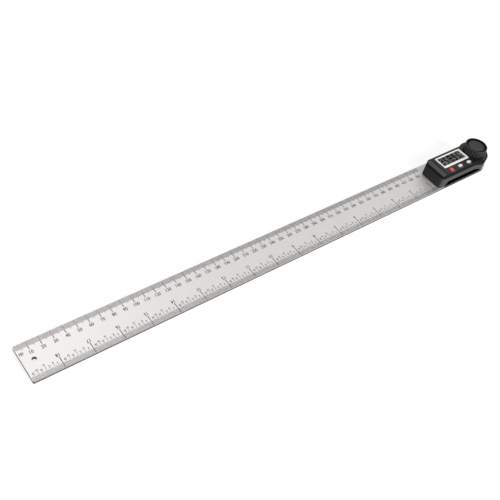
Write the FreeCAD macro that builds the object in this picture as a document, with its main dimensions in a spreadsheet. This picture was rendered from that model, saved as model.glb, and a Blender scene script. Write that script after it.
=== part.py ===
import FreeCAD, Part
import math
import os
from types import SimpleNamespace

import Sketcher

# Digital angle finder with two stacked steel arms.
# X runs along the arms, the pivot end at +X. Y runs across them. Z is up.
# The origin is the middle of the closed tool's footprint, on the surface that it lies on:
# the round end of the head stands out past the arms' near edge, so the arms lie at ARM_Y.
# The pieces of the head are drawn about the pivot axis: negative x is towards the free
# end of the arms, negative y is the side with the buttons.

SIZES = {
    # arms
    "blade_length": 519.5,
    "blade_width": 35.0,
    "blade_thickness": 1.4,
    "blade_corner": 0.8,
    "hang_hole_radius": 2.0,
    "hang_hole_inset": 9.2,
    # pivot
    "pivot_inset": 23.65,
    "pivot_offset": 4.15,
    "stud_head_radius": 6.5,
    "stud_head_thickness": 0.8,
    "stud_radius": 4.0,
    "thread_radius": 3.0,
    "flat_half_width": 2.6,
    "stud_end_gap": 0.4,
    "running_gap": 0.05,
    "assembly_gap": 0.1,
    "slip_radius": 11.0,
    "slip_thickness": 0.2,
    "bush_wall": 1.2,
    "bush_flange_radius": 7.5,
    "bush_flange_thickness": 1.0,
    "bush_gap": 0.5,
    "rotor_side_gap": 0.5,
    "rotor_thickness": 1.0,
    "ring_radius": 4.6,
    "ring_thickness": 0.5,
    "ring_groove_depth": 0.4,
    # lower shell of the head
    "end_margin": 10.1,
    "near_reach": 13.2,
    "far_reach": 13.4,
    "base_height": 12.0,
    "base_round": 15.0,
    "corner_radius": 3.6,
    "wall": 1.6,
    "floor_thickness": 1.4,
    "lower_cavity_height": 6.4,
    "grip_depth": 1.6,
    "grip_wall": 1.4,
    "grip_height": 6.1,
    "grip_start": 7.2,
    "grip_lead": 3.7,
    "grip_flat": 45.4,
    "grip_slope": 10.0,
    # upper shell of the head
    "cover_height": 4.8,
    "cover_round": 15.3,
    "cover_wall": 1.2,
    "ceiling": 1.2,
    "bevel_run": 5.0,
    "bevel_drop": 1.2,
    "edge_round": 0.5,
    "stud_opening_gap": 0.5,
    # face plate
    "plate_thickness": 0.3,
    "plate_margin": 0.8,
    "plate_groove": 0.5,
    # display
    "display_distance": 30.6,
    "display_shift": 3.05,
    "bezel_length": 36.1,
    "bezel_width": 14.8,
    "bezel_proud": 0.2,
    "bezel_corner": 0.6,
    "window_length": 31.0,
    "window_width": 10.0,
    "window_shift": 0.5,
    "lens_sink": 0.3,
    "panel_length": 34.0,
    "panel_width": 12.4,
    "panel_thickness": 2.0,
    "strip_length": 30.0,
    "strip_width": 1.3,
    # boards
    "board_thickness": 1.0,
    "board_drop": 1.2,
    "board_margin": 0.4,
    "board_right": 8.6,
    "sensor_gap": 0.5,
    "pin_radius": 0.25,
    "pin_pitch": 1.5,
    "pin_distance": 10.0,
    "chip_side": 7.0,
    "chip_thickness": 1.0,
    "chip_distance": 26.0,
    # buttons and switches
    "button_pitch": 13.0,
    "button_row": 8.6,
    "power_radius": 2.3,
    "key_length": 5.6,
    "key_width": 3.2,
    "button_gap": 0.15,
    "button_proud": 0.9,
    "button_travel": 0.5,
    "button_crown": 0.5,
    "flange_step": 0.5,
    "flange_thickness": 0.8,
    "flange_gap": 0.1,
    "stem_radius": 1.2,
    "plunger_radius": 0.8,
    "plunger_length": 1.6,
    "plunger_gap": 0.2,
    "switch_side": 3.2,
    "switch_height": 1.8,
    # battery drawer
    "cell_radius": 8.0,
    "cell_thickness": 3.2,
    "cell_cap_height": 0.4,
    "cell_cap_inset": 1.2,
    "cell_gap": 0.1,
    "tray_floor": 0.8,
    "tray_wall": 1.2,
    "tray_lip_drop": 0.3,
    "drawer_gap": 0.15,
    "door_drop": 0.8,
    "door_rise": 1.0,
    "rail_height": 1.7,
    "rail_width": 1.4,
    "contact_thickness": 0.3,
    "contact_width": 3.0,
    "contact_touch": 0.9,
    # screws
    "screw_radius": 1.0,
    "screw_head_radius": 1.9,
    "screw_head_height": 0.8,
    "screw_gap": 0.05,
    "boss_wall": 0.8,
    "boss_gap": 0.2,
    "boss_cap": 0.2,
    "blade_boss_height": 1.5,
    "screw_bite": 3.5,
    "screw_end_gap": 0.1,
    # lock knob
    "knob_radius": 11.15,
    "knob_height": 7.95,
    "flute_radius": 1.3,
    "flute_depth": 0.45,
    "knob_rim": 2.0,
    "knob_rim_height": 0.6,
    "cap_sink": 0.2,
    "insert_wall": 1.5,
    "knob_roof": 0.5,
    "washer_radius": 8.0,
    "washer_thickness": 0.6,
}
FLUTE_COUNT = 26

doc = FreeCAD.newDocument("AngleFinder")
sheet = doc.addObject("Spreadsheet::Sheet", "Sizes")
for row, (name, number) in enumerate(SIZES.items(), start=1):
    sheet.set(f"A{row}", name)
    sheet.set(f"B{row}", str(number))
    sheet.setAlias(f"B{row}", name)
doc.recompute()


class Size:
    """A size as the expression that gives it from the sheet, with its number now."""

    def __init__(self, text, number):
        self.text = text
        self.number = number

    def __add__(self, other):
        other = as_size(other)
        return Size(f"({self.text} + {other.text})", self.number + other.number)

    def __sub__(self, other):
        other = as_size(other)
        return Size(f"({self.text} - {other.text})", self.number - other.number)

    def __mul__(self, factor):
        return Size(f"({self.text} * {factor})", self.number * factor)

    def __truediv__(self, divisor):
        return Size(f"({self.text} / {divisor})", self.number / divisor)

    def __neg__(self):
        return Size(f"(0 - {self.text})", -self.number)


def as_size(value):
    return value if isinstance(value, Size) else Size(str(value), float(value))


size = SimpleNamespace(**{name: Size(f"Sizes.{name}", number) for name, number in SIZES.items()})
ZERO = as_size(0)

# places that several pieces share, about the pivot axis and above the table
PIVOT_X = size.blade_length / 2 - size.pivot_inset
ARM_Y = (size.cover_round + size.pivot_offset - size.blade_width / 2) / 2
PIVOT_Y = ARM_Y - size.pivot_offset
UPPER_BLADE_Z = size.blade_thickness + size.slip_thickness
BASE_Z = UPPER_BLADE_Z + size.blade_thickness
FLOOR_Z = BASE_Z + size.floor_thickness
LEDGE_Z = FLOOR_Z + size.lower_cavity_height
COVER_Z = BASE_Z + size.base_height
BOARD_TOP_Z = COVER_Z - size.board_drop
BOARD_Z = BOARD_TOP_Z - size.board_thickness
TOP_Z = COVER_Z + size.cover_height
CEILING_Z = TOP_Z - size.ceiling
HEAD_LEFT = -size.display_distance - size.bezel_length / 2 - size.end_margin
NEAR = -size.near_reach
FAR = size.far_reach
CAVITY_NEAR = NEAR + size.grip_depth + size.grip_wall
CAVITY_FAR = FAR - size.wall
CAVITY_RADIUS = size.near_reach - size.grip_depth - size.grip_wall
DISPLAY_X = -size.display_distance
DISPLAY_Y = size.display_shift
WINDOW_Y = size.display_shift + size.window_shift
BUTTON_Y = -size.button_row
POWER_X = DISPLAY_X - size.button_pitch
HOLD_X = DISPLAY_X
ZERO_X = DISPLAY_X + size.button_pitch
BOSS_RADIUS = size.screw_radius + size.boss_wall
BUSH_RADIUS = size.stud_radius + size.running_gap + size.bush_wall
TRAY_Y = (CAVITY_NEAR + CAVITY_FAR) / 2
TRAY_HALF = size.cell_radius + size.cell_gap + size.tray_wall
TRAY_Z = FLOOR_Z + size.rail_height + size.assembly_gap
CELL_Z = TRAY_Z + size.tray_floor
CELL_X = HEAD_LEFT + size.wall + size.cell_radius + size.cell_gap + size.assembly_gap
TRAY_RIGHT = CELL_X + size.cell_radius
DOOR_LOW_Z = TRAY_Z - size.door_drop
DOOR_HIGH_Z = CELL_Z + size.cell_thickness + size.door_rise
PANEL_Z = CEILING_Z - size.panel_thickness
WASHER_Z = TOP_Z - size.plate_thickness
KNOB_Z = WASHER_Z + size.washer_thickness
ROTOR_Z = LEDGE_Z - size.sensor_gap - size.rotor_thickness
CROWN = size.knob_height - size.knob_rim_height
INSERT_HEIGHT = CROWN - size.knob_roof
STUD_TOP = KNOB_Z + INSERT_HEIGHT - size.stud_end_gap
SENSOR_RADIUS = size.base_round - size.wall - size.assembly_gap
ROTOR_RADIUS = CAVITY_RADIUS - size.rotor_side_gap

# screw places, in the gaps between buttons, display, drawer and sensor
BLADE_SCREWS = [
    (CELL_X, TRAY_Y - size.cell_radius / 2),
    (CELL_X, TRAY_Y + size.cell_radius / 2),
    (ZERO_X - size.screw_head_radius, TRAY_Y - size.cell_radius / 2),
    (ZERO_X - size.screw_head_radius, TRAY_Y + size.cell_radius / 2),
]
COVER_SCREW_Y = CAVITY_NEAR + BOSS_RADIUS + size.board_margin
RIGHT_SCREW_X = DISPLAY_X + size.bezel_length / 2 + BOSS_RADIUS + size.boss_gap
FAR_SCREW_Y = CAVITY_FAR - BOSS_RADIUS - size.boss_gap
COVER_SCREWS = [
    (DISPLAY_X - size.button_pitch / 2 + size.boss_gap, COVER_SCREW_Y),
    (DISPLAY_X + size.button_pitch / 2, COVER_SCREW_Y),
    (RIGHT_SCREW_X, COVER_SCREW_Y),
    (RIGHT_SCREW_X, FAR_SCREW_Y),
]
BOARD_SCREW_X = DISPLAY_X - size.bezel_length / 2 - BOSS_RADIUS - size.assembly_gap
BOARD_SCREWS = [
    (BOARD_SCREW_X, COVER_SCREW_Y),
    (BOARD_SCREW_X, FAR_SCREW_Y),
]
BUTTON_PLACES = [(POWER_X, BUTTON_Y), (HOLD_X, BUTTON_Y), (ZERO_X, BUTTON_Y)]


def place(item, x=ZERO, y=ZERO, z=ZERO):
    """Bind an object's placement to its place above the table."""
    for axis, distance in (("x", x), ("y", y), ("z", z)):
        item.setExpression(f"Placement.Base.{axis}", as_size(distance).text)


class Piece:
    """One sub-part, made as a body of padded and cut sketches bound to the sheet."""

    def __init__(self, label, x=PIVOT_X, y=PIVOT_Y, z=ZERO):
        self.body = doc.addObject("PartDesign::Body", label)
        self.body.Label = label
        self.body.AllowCompound = True
        place(self.body, x, y, z)

    def plane(self, role):
        return next(item for item in self.body.Origin.OriginFeatures if item.Role == role)

    def sketch(self, level=ZERO, role="XY_Plane"):
        sketch = self.body.newObject("Sketcher::SketchObject", self.body.Label + "_sketch")
        sketch.AttachmentSupport = [(self.plane(role), "")]
        sketch.MapMode = "FlatFace"
        sketch.setExpression("AttachmentOffset.Base.z", as_size(level).text)
        return sketch

    def feature(self, kind, sketch, length, reverse=False):
        feature = self.body.newObject(f"PartDesign::{kind}", f"{self.body.Label}_{kind.lower()}")
        feature.Profile = sketch
        feature.setExpression("Length", as_size(length).text)
        feature.Reversed = reverse
        sketch.Visibility = False
        return feature

    def pad(self, sketch, length):
        return self.feature("Pad", sketch, length)

    def cut_down(self, sketch, depth):
        return self.feature("Pocket", sketch, depth)

    def cut_up(self, sketch, depth):
        return self.feature("Pocket", sketch, depth, reverse=True)

    def discs(self, places, radius, level, height):
        """Add an upright cylinder at each place."""
        sketch = self.sketch(level)
        for x, y in places:
            add_circle(sketch, x, y, radius)
        return self.pad(sketch, height)

    def holes(self, places, radius, level, depth):
        """Cut an upright hole at each place, from a level upwards."""
        sketch = self.sketch(level)
        for x, y in places:
            add_circle(sketch, x, y, radius)
        return self.cut_up(sketch, depth)

    def block(self, left, low, right, high, level, height):
        """Add a rectangular block."""
        sketch = self.sketch(level)
        add_rectangle(sketch, left, low, right, high)
        return self.pad(sketch, height)

    def opening(self, left, low, right, high, level, depth):
        """Cut a rectangular opening, from a level upwards."""
        sketch = self.sketch(level)
        add_rectangle(sketch, left, low, right, high)
        return self.cut_up(sketch, depth)

    def revolve(self, points):
        """Turn a profile of (radius, height) points about the upright axis."""
        sketch = self.sketch(role="XZ_Plane")
        add_polygon(sketch, points)
        feature = self.body.newObject("PartDesign::Revolution", self.body.Label + "_revolution")
        feature.Profile = sketch
        feature.ReferenceAxis = (sketch, ["V_Axis"])
        feature.Angle = 360
        return feature

    def dress(self, kind, radius, test):
        """Round or chamfer the edges that a test picks from the shape so far."""
        doc.recompute()
        base = self.body.Tip
        names = [f"Edge{number}" for number, edge in enumerate(base.Shape.Edges, start=1) if test(edge)]
        feature = self.body.newObject(f"PartDesign::{kind}", f"{self.body.Label}_{kind.lower()}")
        feature.Base = (base, names)
        bound = "Radius" if kind == "Fillet" else "Size"
        feature.setExpression(bound, as_size(radius).text)
        return feature


def vector(x, y):
    return FreeCAD.Vector(as_size(x).number, as_size(y).number, 0)


def bind(sketch, kind, ends, distance):
    distance = as_size(distance)
    index = sketch.addConstraint(Sketcher.Constraint(kind, *ends, distance.number))
    sketch.setExpression(f"Constraints[{index}]", distance.text)


def locate(sketch, geometry, point, x, y):
    """Tie a point of the sketch to its place from the sketch's origin."""
    bind(sketch, "DistanceX", (-1, 1, geometry, point), x)
    bind(sketch, "DistanceY", (-1, 1, geometry, point), y)


def add_polygon(sketch, points):
    first = sketch.GeometryCount
    count = len(points)
    for index, (x, y) in enumerate(points):
        following = points[(index + 1) % count]
        sketch.addGeometry(Part.LineSegment(vector(x, y), vector(*following)), False)
    for index, (x, y) in enumerate(points):
        following = first + (index + 1) % count
        sketch.addConstraint(Sketcher.Constraint("Coincident", first + index, 2, following, 1))
        locate(sketch, first + index, 1, x, y)


def add_rectangle(sketch, left, low, right, high):
    add_polygon(sketch, [(left, low), (right, low), (right, high), (left, high)])


def add_circle(sketch, x, y, radius):
    radius = as_size(radius)
    up = FreeCAD.Vector(0, 0, 1)
    index = sketch.addGeometry(Part.Circle(vector(x, y), up, radius.number), False)
    bind(sketch, "Radius", (index,), radius)
    locate(sketch, index, 3, x, y)


def add_slot(sketch, x, y, length, width):
    """Add a straight slot with round ends that runs along the sketch's x axis."""
    radius = as_size(width / 2)
    reach = length / 2 - radius
    up = FreeCAD.Vector(0, 0, 1)
    left_circle = Part.Circle(vector(x - reach, y), up, radius.number)
    right_circle = Part.Circle(vector(x + reach, y), up, radius.number)
    quarter = math.pi / 2
    right = sketch.addGeometry(Part.ArcOfCircle(right_circle, -quarter, quarter), False)
    left = sketch.addGeometry(Part.ArcOfCircle(left_circle, quarter, 3 * quarter), False)
    high_line = Part.LineSegment(vector(x + reach, y + radius), vector(x - reach, y + radius))
    low_line = Part.LineSegment(vector(x - reach, y - radius), vector(x + reach, y - radius))
    high = sketch.addGeometry(high_line, False)
    low = sketch.addGeometry(low_line, False)
    for line, start_arc, end_arc in ((high, right, left), (low, left, right)):
        sketch.addConstraint(Sketcher.Constraint("Tangent", start_arc, 2, line, 1))
        sketch.addConstraint(Sketcher.Constraint("Tangent", line, 2, end_arc, 1))
    bind(sketch, "Radius", (right,), radius)
    locate(sketch, right, 3, x + reach, y)
    locate(sketch, left, 3, x - reach, y)


def is_upright(edge):
    low, high = edge.Vertexes[0].Point, edge.Vertexes[-1].Point
    return abs(low.x - high.x) < 1e-6 and abs(low.y - high.y) < 1e-6 and abs(low.z - high.z) > 1e-6


def upright_at(x):
    """Pick the upright edges at one place along x."""
    return lambda edge: is_upright(edge) and abs(edge.Vertexes[0].Point.x - as_size(x).number) < 1e-6


def flat_at(z):
    """Pick the edges that lie wholly at one height above the piece's own bottom."""
    height = as_size(z).number
    return lambda edge: abs(edge.BoundBox.ZMin - height) < 1e-6 and abs(edge.BoundBox.ZMax - height) < 1e-6


# ---------------------------------------------------------------- arms and pivot


def blade(label, level):
    """A flat arm: square at its free end, fully round at the pivot end."""
    half = size.blade_width / 2
    arm = Piece(label, ZERO, ARM_Y, level)
    centre = size.blade_length / 2 - half
    arm.block(-size.blade_length / 2, -half, centre, half, ZERO, size.blade_thickness)
    arm.discs([(centre, ZERO)], half, ZERO, size.blade_thickness)
    arm.dress("Fillet", size.blade_corner, upright_at(-size.blade_length / 2))
    hole_x = size.hang_hole_inset - size.blade_length / 2
    arm.holes([(hole_x, ZERO)], size.hang_hole_radius, ZERO, size.blade_thickness)
    return arm


def lower_blade():
    arm = blade("lower_blade", ZERO)
    pivot = [(PIVOT_X, -size.pivot_offset)]
    arm.holes(pivot, size.stud_radius + size.screw_gap, ZERO, size.blade_thickness)
    recess = size.stud_head_thickness + size.screw_gap
    arm.holes(pivot, size.stud_head_radius + size.assembly_gap, ZERO, recess)


def upper_blade():
    arm = blade("upper_blade", UPPER_BLADE_Z)
    pivot_y = -size.pivot_offset
    arm.holes([(PIVOT_X, pivot_y)], BUSH_RADIUS + size.screw_gap, ZERO, size.blade_thickness)
    places = [(PIVOT_X + x, pivot_y + y) for x, y in BLADE_SCREWS]
    arm.holes(places, size.screw_radius + size.screw_gap, ZERO, size.blade_thickness)
    recess_radius = size.screw_head_radius + size.assembly_gap
    arm.holes(places, recess_radius, ZERO, size.screw_head_height + size.screw_gap)


def pivot_stud():
    """Flanged stud: its head sits in the lower arm, its thread takes the knob."""
    seat = size.screw_gap
    groove = ROTOR_Z + size.rotor_thickness
    groove_radius = size.thread_radius - size.ring_groove_depth
    stud = Piece("pivot_stud")
    stud.revolve([
        (ZERO, seat),
        (size.stud_head_radius, seat),
        (size.stud_head_radius, size.stud_head_thickness),
        (size.stud_radius, size.stud_head_thickness),
        (size.stud_radius, ROTOR_Z),
        (size.thread_radius, ROTOR_Z),
        (size.thread_radius, groove),
        (groove_radius, groove),
        (groove_radius, groove + size.ring_thickness + size.screw_gap),
        (size.thread_radius, groove + size.ring_thickness + size.screw_gap),
        (size.thread_radius, STUD_TOP - size.edge_round),
        (size.thread_radius - size.edge_round, STUD_TOP),
        (ZERO, STUD_TOP),
    ])
    flats = stud.sketch(ROTOR_Z)
    for side in (-1, 1):
        inner = size.flat_half_width * side
        outer = size.stud_radius * side
        low, high = (inner, outer) if side > 0 else (outer, inner)
        add_rectangle(flats, -size.stud_radius, low, size.stud_radius, high)
    stud.cut_up(flats, size.rotor_thickness)


def slip_washer():
    washer = Piece("slip_washer", z=size.blade_thickness)
    washer.discs([(ZERO, ZERO)], size.slip_radius, ZERO, size.slip_thickness)
    washer.holes([(ZERO, ZERO)], size.stud_radius + size.screw_gap, ZERO, size.slip_thickness)


def pivot_bush():
    """Flanged bush, pressed into the upper arm and the floor of the head."""
    bore = size.stud_radius + size.running_gap
    flange = size.blade_thickness + size.floor_thickness
    collar = flange + size.bush_flange_thickness
    top = ROTOR_Z - size.bush_gap - UPPER_BLADE_Z
    bush = Piece("pivot_bush", z=UPPER_BLADE_Z)
    bush.revolve([
        (bore, ZERO),
        (BUSH_RADIUS, ZERO),
        (BUSH_RADIUS, flange),
        (size.bush_flange_radius, flange),
        (size.bush_flange_radius, collar),
        (BUSH_RADIUS, collar),
        (BUSH_RADIUS, top),
        (bore, top),
    ])


def encoder_rotor():
    """Sensor disc with a hole that has the stud's two flats."""
    rotor = Piece("encoder_rotor", z=ROTOR_Z)
    rotor.discs([(ZERO, ZERO)], ROTOR_RADIUS, ZERO, size.rotor_thickness)
    rotor.holes([(ZERO, ZERO)], size.thread_radius + size.screw_gap, ZERO, size.rotor_thickness)
    keys = rotor.sketch()
    reach = size.thread_radius + size.bush_wall
    for side in (-1, 1):
        inner = (size.flat_half_width + size.screw_gap) * side
        outer = reach * side
        low, high = (inner, outer) if side > 0 else (outer, inner)
        add_rectangle(keys, -reach / 2, low, reach / 2, high)
    rotor.pad(keys, size.rotor_thickness)


def retaining_ring():
    """Open ring that snaps into the stud's groove over the rotor."""
    ring = Piece("retaining_ring", z=ROTOR_Z + size.rotor_thickness)
    groove_radius = size.thread_radius - size.ring_groove_depth
    ring.discs([(ZERO, ZERO)], size.ring_radius, ZERO, size.ring_thickness)
    ring.holes([(ZERO, ZERO)], groove_radius + size.screw_gap, ZERO, size.ring_thickness)
    half = groove_radius / 2
    ring.opening(ZERO, -half, size.ring_radius + half, half, ZERO, size.ring_thickness)


# ---------------------------------------------------------------- shells of the head


def housing_base():
    """Lower shell: floor, walls, grip recess, drawer opening, rails and screw pillars."""
    base = Piece("housing_base", z=BASE_Z)
    floor = size.floor_thickness
    ledge = floor + size.lower_cavity_height
    upper_depth = size.base_height - ledge
    base.block(HEAD_LEFT, NEAR, ZERO, FAR, ZERO, size.base_height)
    base.dress("Fillet", size.corner_radius, upright_at(HEAD_LEFT))
    base.discs([(ZERO, ZERO)], size.base_round, ZERO, size.base_height)
    left = HEAD_LEFT + size.wall
    base.opening(left, NEAR + size.wall, ZERO, CAVITY_FAR, ledge, upper_depth)
    base.holes([(ZERO, ZERO)], size.base_round - size.wall, ledge, upper_depth)
    base.opening(left, CAVITY_NEAR, ZERO, CAVITY_FAR, floor, size.lower_cavity_height)
    base.holes([(ZERO, ZERO)], CAVITY_RADIUS, floor, size.lower_cavity_height)
    base.holes([(ZERO, ZERO)], BUSH_RADIUS + size.screw_gap, ZERO, floor)

    grip = base.sketch(size.base_round + size.grip_depth, "XZ_Plane")
    grip_left = HEAD_LEFT + size.grip_start
    flat_end = grip_left + size.grip_lead + size.grip_flat
    add_polygon(grip, [
        (grip_left, ZERO),
        (flat_end + size.grip_slope, ZERO),
        (flat_end, size.grip_height),
        (grip_left + size.grip_lead, size.grip_height),
    ])
    base.cut_down(grip, size.base_round - size.near_reach + size.grip_depth * 2)

    door = base.sketch(HEAD_LEFT, "YZ_Plane")
    half = TRAY_HALF + size.drawer_gap * 2
    low = DOOR_LOW_Z - BASE_Z - size.drawer_gap
    high = DOOR_HIGH_Z - BASE_Z + size.drawer_gap
    add_rectangle(door, TRAY_Y - half, low, TRAY_Y + half, high)
    base.cut_up(door, size.wall)

    for side in (-1, 1):
        edge = TRAY_Y + TRAY_HALF * side
        inner = edge - size.rail_width * side
        low, high = (inner, edge) if side > 0 else (edge, inner)
        base.block(left, low, TRAY_RIGHT, high, floor, size.rail_height)

    pillar = BOARD_Z - BASE_Z - floor
    base.discs(COVER_SCREWS, BOSS_RADIUS, floor, pillar)
    base.discs(BLADE_SCREWS, BOSS_RADIUS, floor, size.blade_boss_height)
    hole = size.screw_radius + size.screw_gap
    base.holes(COVER_SCREWS, hole, ZERO, floor + pillar)
    head_hole = size.screw_head_radius + size.screw_gap
    base.holes(COVER_SCREWS, head_hole, ZERO, size.screw_head_height + size.screw_gap)
    base.holes(BLADE_SCREWS, hole, ZERO, floor + size.blade_boss_height - size.boss_cap)


def housing_cover():
    """Upper shell: bevelled left end, recess for the face plate, bosses for the screws."""
    cover = Piece("housing_cover", z=COVER_Z)
    top = size.cover_height
    inside = top - size.ceiling
    cover.block(HEAD_LEFT, NEAR, ZERO, FAR, ZERO, top)
    cover.dress("Fillet", size.corner_radius, upright_at(HEAD_LEFT))
    cover.discs([(ZERO, ZERO)], size.cover_round, ZERO, top)
    cover.dress("Fillet", size.edge_round, flat_at(top))
    bevel = cover.sketch(size.near_reach + size.bevel_run, "XZ_Plane")
    add_polygon(bevel, [
        (HEAD_LEFT - size.bevel_run, top - size.bevel_drop),
        (HEAD_LEFT, top - size.bevel_drop),
        (HEAD_LEFT + size.bevel_run, top),
        (HEAD_LEFT + size.bevel_run, top + size.bevel_drop),
        (HEAD_LEFT - size.bevel_run, top + size.bevel_drop),
    ])
    cover.cut_down(bevel, size.near_reach + size.far_reach + size.bevel_run * 2)

    cavity_left = HEAD_LEFT + size.bevel_run - size.plate_margin
    cavity_near = NEAR + size.cover_wall
    cavity_far = FAR - size.cover_wall
    cover.opening(cavity_left, cavity_near, ZERO, cavity_far, ZERO, inside)
    cover.holes([(ZERO, ZERO)], size.cover_round - size.wall, ZERO, inside)

    recess = top - size.plate_thickness
    plate_left = HEAD_LEFT + size.bevel_run + size.plate_groove
    margin = size.plate_margin
    cover.opening(plate_left, NEAR + margin, ZERO, FAR - margin, recess, size.plate_thickness)
    cover.holes([(ZERO, ZERO)], size.cover_round - margin, recess, size.plate_thickness)

    cover.discs(COVER_SCREWS + BOARD_SCREWS, BOSS_RADIUS, -size.board_drop, size.board_drop + inside)
    pilot = size.screw_radius + size.screw_gap
    cover.holes(COVER_SCREWS, pilot, -size.board_drop, size.screw_bite + size.screw_end_gap)
    cover.holes(BOARD_SCREWS, pilot, -size.board_drop, size.screw_bite + size.screw_end_gap)

    cut_face_openings(cover, inside, size.ceiling)
    cover.holes([(ZERO, ZERO)], size.thread_radius + size.stud_opening_gap, inside, size.ceiling)


def cut_face_openings(piece, level, depth):
    """Cut the holes for the display frame and the three buttons."""
    gap = size.screw_gap
    half_length = size.bezel_length / 2 + gap
    half_width = size.bezel_width / 2 + gap
    left, right = DISPLAY_X - half_length, DISPLAY_X + half_length
    piece.opening(left, DISPLAY_Y - half_width, right, DISPLAY_Y + half_width, level, depth)
    holes = piece.sketch(level)
    add_circle(holes, POWER_X, BUTTON_Y, size.power_radius + size.button_gap)
    for x in (HOLD_X, ZERO_X):
        length = size.key_length + size.button_gap * 2
        add_slot(holes, x, BUTTON_Y, length, size.key_width + size.button_gap * 2)
    piece.cut_up(holes, depth)


def face_plate():
    """Thin gloss plate in the recess of the cover."""
    gap = size.assembly_gap
    thickness = size.plate_thickness
    plate = Piece("face_plate", z=TOP_Z - thickness)
    left = HEAD_LEFT + size.bevel_run + size.plate_groove + gap
    margin = size.plate_margin + gap
    plate.block(left, NEAR + margin, ZERO, FAR - margin, ZERO, thickness)
    plate.discs([(ZERO, ZERO)], size.cover_round - margin, ZERO, thickness)
    plate.holes([(ZERO, ZERO)], size.washer_radius + size.stud_opening_gap, ZERO, thickness)
    cut_face_openings(plate, ZERO, thickness)


# ---------------------------------------------------------------- display and boards


def plate_piece(label, x, y, length, width, level, thickness):
    """A rectangular plate given by its centre."""
    piece = Piece(label, z=level)
    piece.block(x - length / 2, y - width / 2, x + length / 2, y + width / 2, ZERO, thickness)
    return piece


def display():
    """White frame, window, display glass and the rubber strips that connect it."""
    bezel_height = size.ceiling + size.bezel_proud
    bezel = plate_piece("display_bezel", DISPLAY_X, DISPLAY_Y, size.bezel_length,
                        size.bezel_width, CEILING_Z, bezel_height)
    bezel.dress("Fillet", size.bezel_corner, is_upright)
    half_length = size.window_length / 2
    half_width = size.window_width / 2
    bezel.opening(DISPLAY_X - half_length, WINDOW_Y - half_width, DISPLAY_X + half_length,
                  WINDOW_Y + half_width, ZERO, bezel_height)

    gap = size.assembly_gap
    plate_piece("display_lens", DISPLAY_X, WINDOW_Y, size.window_length - gap,
                size.window_width - gap, CEILING_Z, bezel_height - size.lens_sink)
    plate_piece("display_panel", DISPLAY_X, WINDOW_Y, size.panel_length, size.panel_width,
                PANEL_Z, size.panel_thickness)

    strips = Piece("contact_strips", z=BOARD_TOP_Z)
    sketch = strips.sketch()
    half = size.strip_length / 2
    for side in (-1, 1):
        outer = WINDOW_Y + (size.panel_width / 2 - size.assembly_gap) * side
        inner = outer - size.strip_width * side
        low, high = (inner, outer) if side > 0 else (outer, inner)
        add_rectangle(sketch, DISPLAY_X - half, low, DISPLAY_X + half, high)
    strips.pad(sketch, PANEL_Z - BOARD_TOP_Z)


def boards():
    """Main board under the display, sensor board over the rotor, and the pins between."""
    main = Piece("main_board", z=BOARD_Z)
    left = HEAD_LEFT + size.wall + size.board_margin
    low = NEAR + size.wall + size.board_margin
    high = CAVITY_FAR - size.board_margin
    main.block(left, low, -size.board_right, high, ZERO, size.board_thickness)
    screw_places = COVER_SCREWS + BOARD_SCREWS
    main.holes(screw_places, size.screw_radius + size.screw_gap, ZERO, size.board_thickness)

    sensor = Piece("sensor_board", z=LEDGE_Z)
    sensor.discs([(ZERO, ZERO)], SENSOR_RADIUS, ZERO, size.board_thickness)
    inner = size.ring_radius + size.stud_opening_gap
    sensor.holes([(ZERO, ZERO)], inner, ZERO, size.board_thickness)
    pillar = BOSS_RADIUS + size.assembly_gap
    sensor.holes(COVER_SCREWS[2:], pillar, ZERO, size.board_thickness)

    pins = Piece("board_link_pins", z=LEDGE_Z + size.board_thickness)
    places = [(-size.pin_distance, size.pin_pitch * step) for step in (-1, 0, 1)]
    pins.discs(places, size.pin_radius, ZERO, BOARD_Z - LEDGE_Z - size.board_thickness)

    plate_piece("control_chip", -size.chip_distance, TRAY_Y, size.chip_side, size.chip_side,
                BOARD_Z - size.chip_thickness, size.chip_thickness)


# ---------------------------------------------------------------- buttons and switches

SWITCH_TOP_Z = BOARD_TOP_Z + size.switch_height
FLANGE_TOP_Z = CEILING_Z - size.flange_gap
FLANGE_Z = FLANGE_TOP_Z - size.flange_thickness
PLUNGER_Z = SWITCH_TOP_Z - size.plunger_length + size.button_travel + size.plunger_gap


def button(label, x, outline):
    """A key: its crown through the face, a flange behind it and a stem to the switch."""
    key = Piece(label, x=PIVOT_X + x, y=PIVOT_Y + BUTTON_Y, z=FLANGE_Z)
    flange = key.sketch()
    outline(flange, size.flange_step)
    key.pad(flange, size.flange_thickness)
    crown = key.sketch()
    outline(crown, ZERO)
    top = TOP_Z + size.button_proud - FLANGE_Z
    key.pad(crown, top)
    key.dress("Fillet", size.button_crown, flat_at(top))
    stem = FLANGE_Z - PLUNGER_Z - size.plunger_length
    key.discs([(ZERO, ZERO)], size.stem_radius, -stem, stem)


def round_outline(sketch, margin):
    add_circle(sketch, ZERO, ZERO, size.power_radius + margin)


def slot_outline(sketch, margin):
    add_slot(sketch, ZERO, ZERO, size.key_length + margin * 2, size.key_width + margin * 2)


def plunger(label, x):
    piece = Piece(label, x=PIVOT_X + x, y=PIVOT_Y + BUTTON_Y, z=PLUNGER_Z)
    piece.discs([(ZERO, ZERO)], size.plunger_radius, ZERO, size.plunger_length)


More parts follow.
